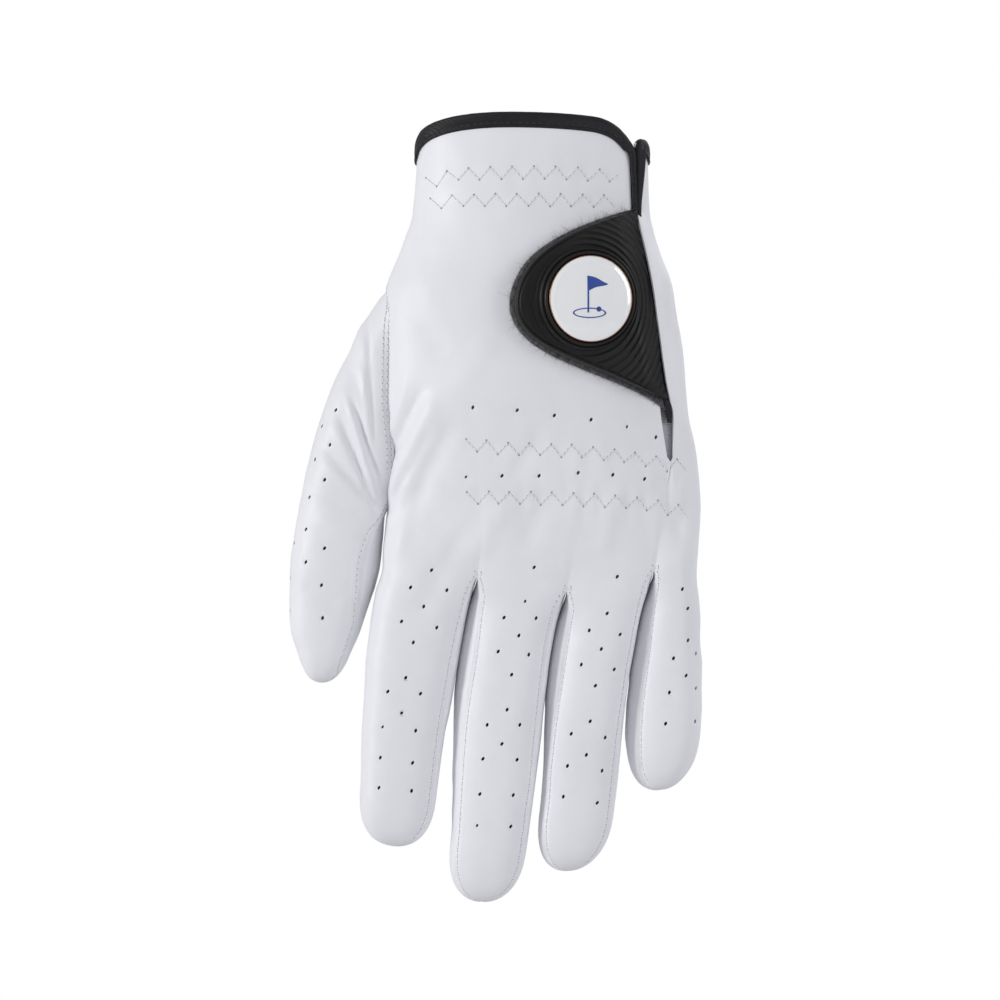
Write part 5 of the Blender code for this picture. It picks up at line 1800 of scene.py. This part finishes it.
def add_hair(verts, faces, start, end, up, radius, curl):
    base = len(verts)
    length = float(np.linalg.norm(end - start))
    way = (end - start) / np.linalg.norm(end - start)
    side = unit(np.cross(way, up))
    over_way = np.cross(side, way)
    for share in HAIR_STEPS:
        bend = up * (curl * share * share) + side * (0.35 * curl * math.sin(4 * share))
        centre = start + way * length * share + bend
        size = radius * (1 - 0.65 * share)
        for k in range(HAIR_SIDES):
            angle = 2 * PI * k / HAIR_SIDES
            verts.append(centre + side * math.cos(angle) * size + over_way * math.sin(angle) * size)
    faces.extend(capped_tube_faces(base, len(HAIR_STEPS), HAIR_SIDES))


def over_back(x, z, off):
    return np.array((x, float(back_y(x, z, SHEET + off)), z))


def make_loop_fibres(count=2600):
    """Loose fibres round the loop patch's edge, longer now and then, most of all at its top."""
    edge = np.stack(
        (SEAT[0] + loop_reach * np.cos(loop_angles), SEAT[2] + loop_reach * np.sin(loop_angles)),
        -1)
    verts, faces = [], []
    for _ in range(count):
        j = rng.integers(len(edge))
        following = edge[(j + 1) % len(edge)]
        share = rng.random()
        x, z = edge[j] * (1 - share) + following * share
        if x - SLIT(z) > -2.0:
            continue
        tangent = unit(following - edge[j])
        normal = np.array((tangent[1], -tangent[0]))
        if normal @ np.array((x - SEAT[0], z - SEAT[2])) < 0:
            normal = -normal
        length = rng.gamma(2.0, 0.24) + 0.15
        length += (rng.random() < (0.10 if z > -33 else 0.015)) * rng.uniform(0.6, 2.8)
        x = x - normal[0] * rng.uniform(0.1, 0.9)
        z = z - normal[1] * rng.uniform(0.1, 0.9)
        way = normal + tangent * rng.normal(0, 0.75)
        way = way / np.linalg.norm(way)
        start = over_back(x, z, rng.uniform(0.4, 1.1))
        end = over_back(x + way[0] * length, z + way[1] * length, rng.uniform(0.15, 1.0))
        add_hair(
            verts, faces, start, end, np.array((0.1, -1.0, 0.0)),
            radius=rng.uniform(0.028, 0.05), curl=rng.uniform(-0.05, 0.35))
    fibres = mesh_object("loop_pile_fibres", verts, faces, FIBRE)
    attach(fibres, "hand")


def make_hook_tips(count=900):
    verts, faces = [], []
    for _ in range(count):
        j = rng.integers(len(hook_angles))
        radius = hook_reach[j] * (math.sqrt(rng.random()) * 0.93)
        x = SEAT[0] + radius * math.cos(hook_angles[j])
        z = SEAT[2] + radius * math.sin(hook_angles[j])
        end = over_back(x + rng.normal(0, 0.12), z + rng.normal(0, 0.12), 1.42)
        add_hair(
            verts, faces, over_back(x, z, 1.95), end, np.array((1.0, 0.0, 0.2)),
            radius=0.10, curl=0.12)
    tips = mesh_object("tab_hook_tips", verts, faces, HOOK)
    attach(tips, "tab")


# (out, edge) outline of the dark tail.
TAIL_OUTLINE = (
    (0.9, 0.4), (1.15, -0.3), (1.3, -1.0), (1.15, -1.7), (0.7, -2.2), (0.1, -2.4), (-0.3, -2.0),
    (-0.45, -1.0), (-0.5, 0.0), (0.2, 0.5))


def make_sewn_end():
    """The tab's sewn end shows as a dark tail that thins out below the tab."""
    frames = []
    for z in np.linspace(-72.0, -85.0, 44):
        x = float(TAB_EDGE(z)) - 0.35
        slope = float(back_y(x + 0.4, z) - back_y(x - 0.4, z)) / 0.8
        out = np.array([slope, -1.0, 0.0])
        edge = np.array([1.0, slope, 0.0])
        size = 0.25 + 0.75 * float(smooth((z + 85.4) / 7))
        frames.append((
            over_back(x, z, 0.0), out / np.linalg.norm(out) * size,
            edge / np.linalg.norm(edge) * (0.35 + 0.65 * size)))
    tail = sweep("tab_sewn_end", frames, [TAIL_OUTLINE] * len(frames), TAPE, "hand", 0.08)


make_loop_fibres()
make_hook_tips()
make_sewn_end()


# ---------------------------------------------------------------- marker and its seat
def seat_point(across, up, out):
    return SEAT + SEAT_OUT * out + SEAT_ACROSS * across + SEAT_UP * up


def turned(name, profile, material, body, steps=128, above=None):
    """A turned body from a closed profile of (radius, height) on the seat's axis.

    above keeps it at least that far over the hide.
    """
    verts, faces, rings = [], [], []
    for radius, height in profile:
        count = steps if radius > 1e-6 else 1
        rings.append(range(len(verts), len(verts) + count))
        for k in range(count):
            angle = 2 * PI * k / steps
            verts.append(seat_point(radius * math.cos(angle), radius * math.sin(angle), height))
    for a, b in zip(rings, rings[1:] + rings[:1]):
        if len(a) == len(b) == 1:
            continue
        for k in range(steps):
            following = (k + 1) % steps
            if len(a) == 1:
                faces.append((a[0], b[following], b[k]))
            elif len(b) == 1:
                faces.append((a[k], a[following], b[0]))
            else:
                faces.append((a[k], a[following], b[following], b[k]))
    if above is not None:
        verts = np.array(verts)
        deep = verts[:, 1] - back_y(verts[:, 0], verts[:, 2], SHEET + above)
        # 0.9563 is the share of a move along the seat's axis that goes towards -Y.
        verts = verts + SEAT_OUT * (np.maximum(deep, 0) / 0.9563)[:, None]
    obj = mesh_object(name, verts, faces, material)
    face_outward(obj)
    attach(obj, body)
    return obj


# (radius, height) profiles.
BEZEL_PROFILE = (
    (14.6, -3.2), (14.85, -1.5), (14.92, 0.2), (14.9, 1.6), (14.72, 2.1), (14.42, 2.32),
    (14.12, 2.26), (13.97, 1.9), (13.85, 1.95), (13.76, 2.6), (13.55, 3.1), (13.25, 3.3),
    (12.95, 3.25), (12.72, 2.95), (12.66, 2.2), (12.62, 0.75), (12.3, 0.7), (0.0, 0.7),
    (0.0, 0.1), (12.6, 0.1), (12.9, -0.4), (13.2, -3.2))
MAGNET_PROFILE = ((0.0, 1.9), (6.5, 1.9), (6.9, 1.82), (7.0, 1.7), (7.0, 0.8), (0.0, 0.8))
MARKER_PROFILE = (
    (0.0, 3.3), (12.18, 3.3), (12.24, 3.44), (12.32, 3.48), (12.42, 3.40), (12.48, 3.2),
    (12.48, 2.9), (12.38, 2.5), (12.0, 2.2), (8.0, 2.1), (0.0, 2.1))
DOME_RADIUS, DOME_FOOT = 12.2, 3.31


def dome_height(radius):
    """A shallow dome with a faint ring at 11 mm and a rounded edge."""
    height = 3.55 + 0.95 * np.sqrt(np.clip(1 - (radius / 13.2) ** 2, 0, 1)) - 0.40
    height = height + 0.05 * bell(radius - 11.0, 0.28)
    return float(height - 0.10 * np.clip((radius - 11.6) / 0.6, 0, 1) ** 2)


cup = turned("marker_seat_bezel", BEZEL_PROFILE, BEZEL, "tab", above=2.9)
register(cup, "black_rubber", "seat_cup")
magnet = turned("marker_seat_magnet", MAGNET_PROFILE, NICKEL, "tab", steps=96)
register(magnet, "nickel_magnet", "seat_magnet")
rim = turned("marker_metal_body", MARKER_PROFILE, COPPER, "marker")
register(rim, "coppery_steel", "marker_body")
dome_radii = [*np.linspace(0, 10.2, 14), *np.linspace(10.3, DOME_RADIUS, 18)]
dome_profile = [(float(r), dome_height(r)) for r in dome_radii]
dome = turned(
    "marker_enamel_dome", dome_profile + [(DOME_RADIUS, DOME_FOOT), (0.0, DOME_FOOT)],
    ENAMEL, "marker")
register(dome, "white_enamel", "marker_dome")


def add_ribbon(verts, faces, left, right):
    """A thin raised strip between two lines of (across, up) points on the dome."""
    base, count = len(verts), len(left)
    for lift in (0.07, -0.05):
        for across, up in left + right:
            verts.append(seat_point(across, up, dome_height(math.hypot(across, up)) + lift))

    def at(below, side, i):
        return base + below * 2 * count + side * count + i

    for i in range(count - 1):
        j = i + 1
        faces.append((at(0, 0, i), at(0, 1, i), at(0, 1, j), at(0, 0, j)))
        faces.append((at(1, 0, i), at(1, 0, j), at(1, 1, j), at(1, 1, i)))
        faces.append((at(0, 0, i), at(0, 0, j), at(1, 0, j), at(1, 0, i)))
        faces.append((at(0, 1, i), at(1, 1, i), at(1, 1, j), at(0, 1, j)))
    end = count - 1
    faces.append((at(0, 0, 0), at(1, 0, 0), at(1, 1, 0), at(0, 1, 0)))
    faces.append((at(0, 0, end), at(0, 1, end), at(1, 1, end), at(1, 0, end)))


def make_flag_inlay():
    """A plain sign on the dome: a pole, its flag, an oval hole and a ball."""
    steps = np.linspace(0, 1, 14)
    verts, faces = [], []
    pole = [[(across, 6.6 - 10.6 * v) for v in steps] for across in (-1.25, -0.75)]
    flag = [
        [(-0.75 + 5.6 * v, start + slope * v + 0.25 * math.sin(5 * v)) for v in steps]
        for start, slope in ((6.5, -1.9), (2.3, 2.0))]
    hole = [
        [(-0.6 + wide * math.cos(a), -4.1 + high * math.sin(a))
         for a in np.linspace(0, 2 * PI, 60)]
        for wide, high in ((5.0, 1.5), (4.55, 1.18))]
    ball = [
        [(2.2 + 0.75 * math.cos(a), -3.0 + half * math.sin(a)) for a in np.linspace(PI, 0, 12)]
        for half in (0.75, -0.75)]
    for left, right in (pole, flag, hole, ball):
        add_ribbon(verts, faces, left, right)
    inlay = mesh_object("marker_flag_inlay", verts, faces, BLUE, smoothed=False)
    face_outward(inlay, weld=True)
    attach(inlay, "marker")


make_flag_inlay()

# ---------------------------------------------------------------- floor, light and camera
# From here on places are in metres.
scene = bpy.context.scene


def split_by_camera(tree, output, lit, seen):
    """Lights the scene with one shader and shows the camera another.

    Each is a node kind, a colour and a strength, or None where the kind has no strength.
    """
    nodes, link = tree.nodes, tree.links.new
    nodes.clear()
    out = nodes.new(output)
    mix = nodes.new("ShaderNodeMixShader")
    for socket, (kind, colour, strength) in enumerate((lit, seen), 1):
        node = nodes.new(kind)
        node.inputs["Color"].default_value = (*colour, 1)
        if strength is not None:
            node.inputs["Strength"].default_value = strength
        link(node.outputs[0], mix.inputs[socket])
    path = nodes.new("ShaderNodeLightPath")
    link(path.outputs["Is Camera Ray"], mix.inputs["Fac"])
    link(mix.outputs[0], out.inputs["Surface"])


stage_material = bpy.data.materials.new("stage_white")
stage_material.use_nodes = True
split_by_camera(
    stage_material.node_tree, "ShaderNodeOutputMaterial",
    lit=("ShaderNodeBsdfDiffuse", (0.82, 0.82, 0.83), None),
    seen=("ShaderNodeEmission", (1, 1, 1), 1.0))
bpy.ops.mesh.primitive_plane_add(size=14.0, location=(0, 0, -0.236))
floor = bpy.context.object
floor.name = "studio_floor"
floor.data.materials.append(stage_material)

world = bpy.data.worlds.new("studio")
scene.world = world
world.use_nodes = True
split_by_camera(
    world.node_tree, "ShaderNodeOutputWorld",
    lit=("ShaderNodeBackground", (0.96, 0.97, 1.0), 0.50),
    seen=("ShaderNodeBackground", (1, 1, 1), 1.0))

LIGHT_TARGET = Vector((0, 0, -0.1))


def disk_light(name, place, size, power, colour):
    data = bpy.data.lights.new(name, "AREA")
    data.shape = "DISK"
    data.size = size
    data.energy = power
    data.color = colour
    lamp = bpy.data.objects.new(name, data)
    lamp.location = place
    lamp.rotation_euler = (LIGHT_TARGET - Vector(place)).to_track_quat("-Z", "Y").to_euler()
    scene.collection.objects.link(lamp)


disk_light("key", place=(-2.2, -1.1, 0.22), size=0.6, power=29.5, colour=(1.0, 0.995, 0.985))
disk_light("fill", place=(2.0, -1.2, 0.35), size=1.0, power=13.0, colour=(0.98, 0.985, 1.0))
disk_light("rim", place=(0.9, 1.3, 0.8), size=1.0, power=6.0, colour=(1, 1, 1))
scene.view_settings.view_transform = "Standard"
scene.view_settings.look = "None"

CAMERA_AIM = Vector((-0.00956522, 0.0, -0.10724638))
CAMERA_DISTANCE = 2.5
camera_data = bpy.data.cameras.new("camera")
camera_data.sensor_width = 36.0
camera_data.lens = 310.5
camera = bpy.data.objects.new("camera", camera_data)
camera.location = CAMERA_AIM + Vector((0, -CAMERA_DISTANCE, 0))
camera.rotation_euler = (math.radians(90), 0, 0)
scene.collection.objects.link(camera)
scene.camera = camera
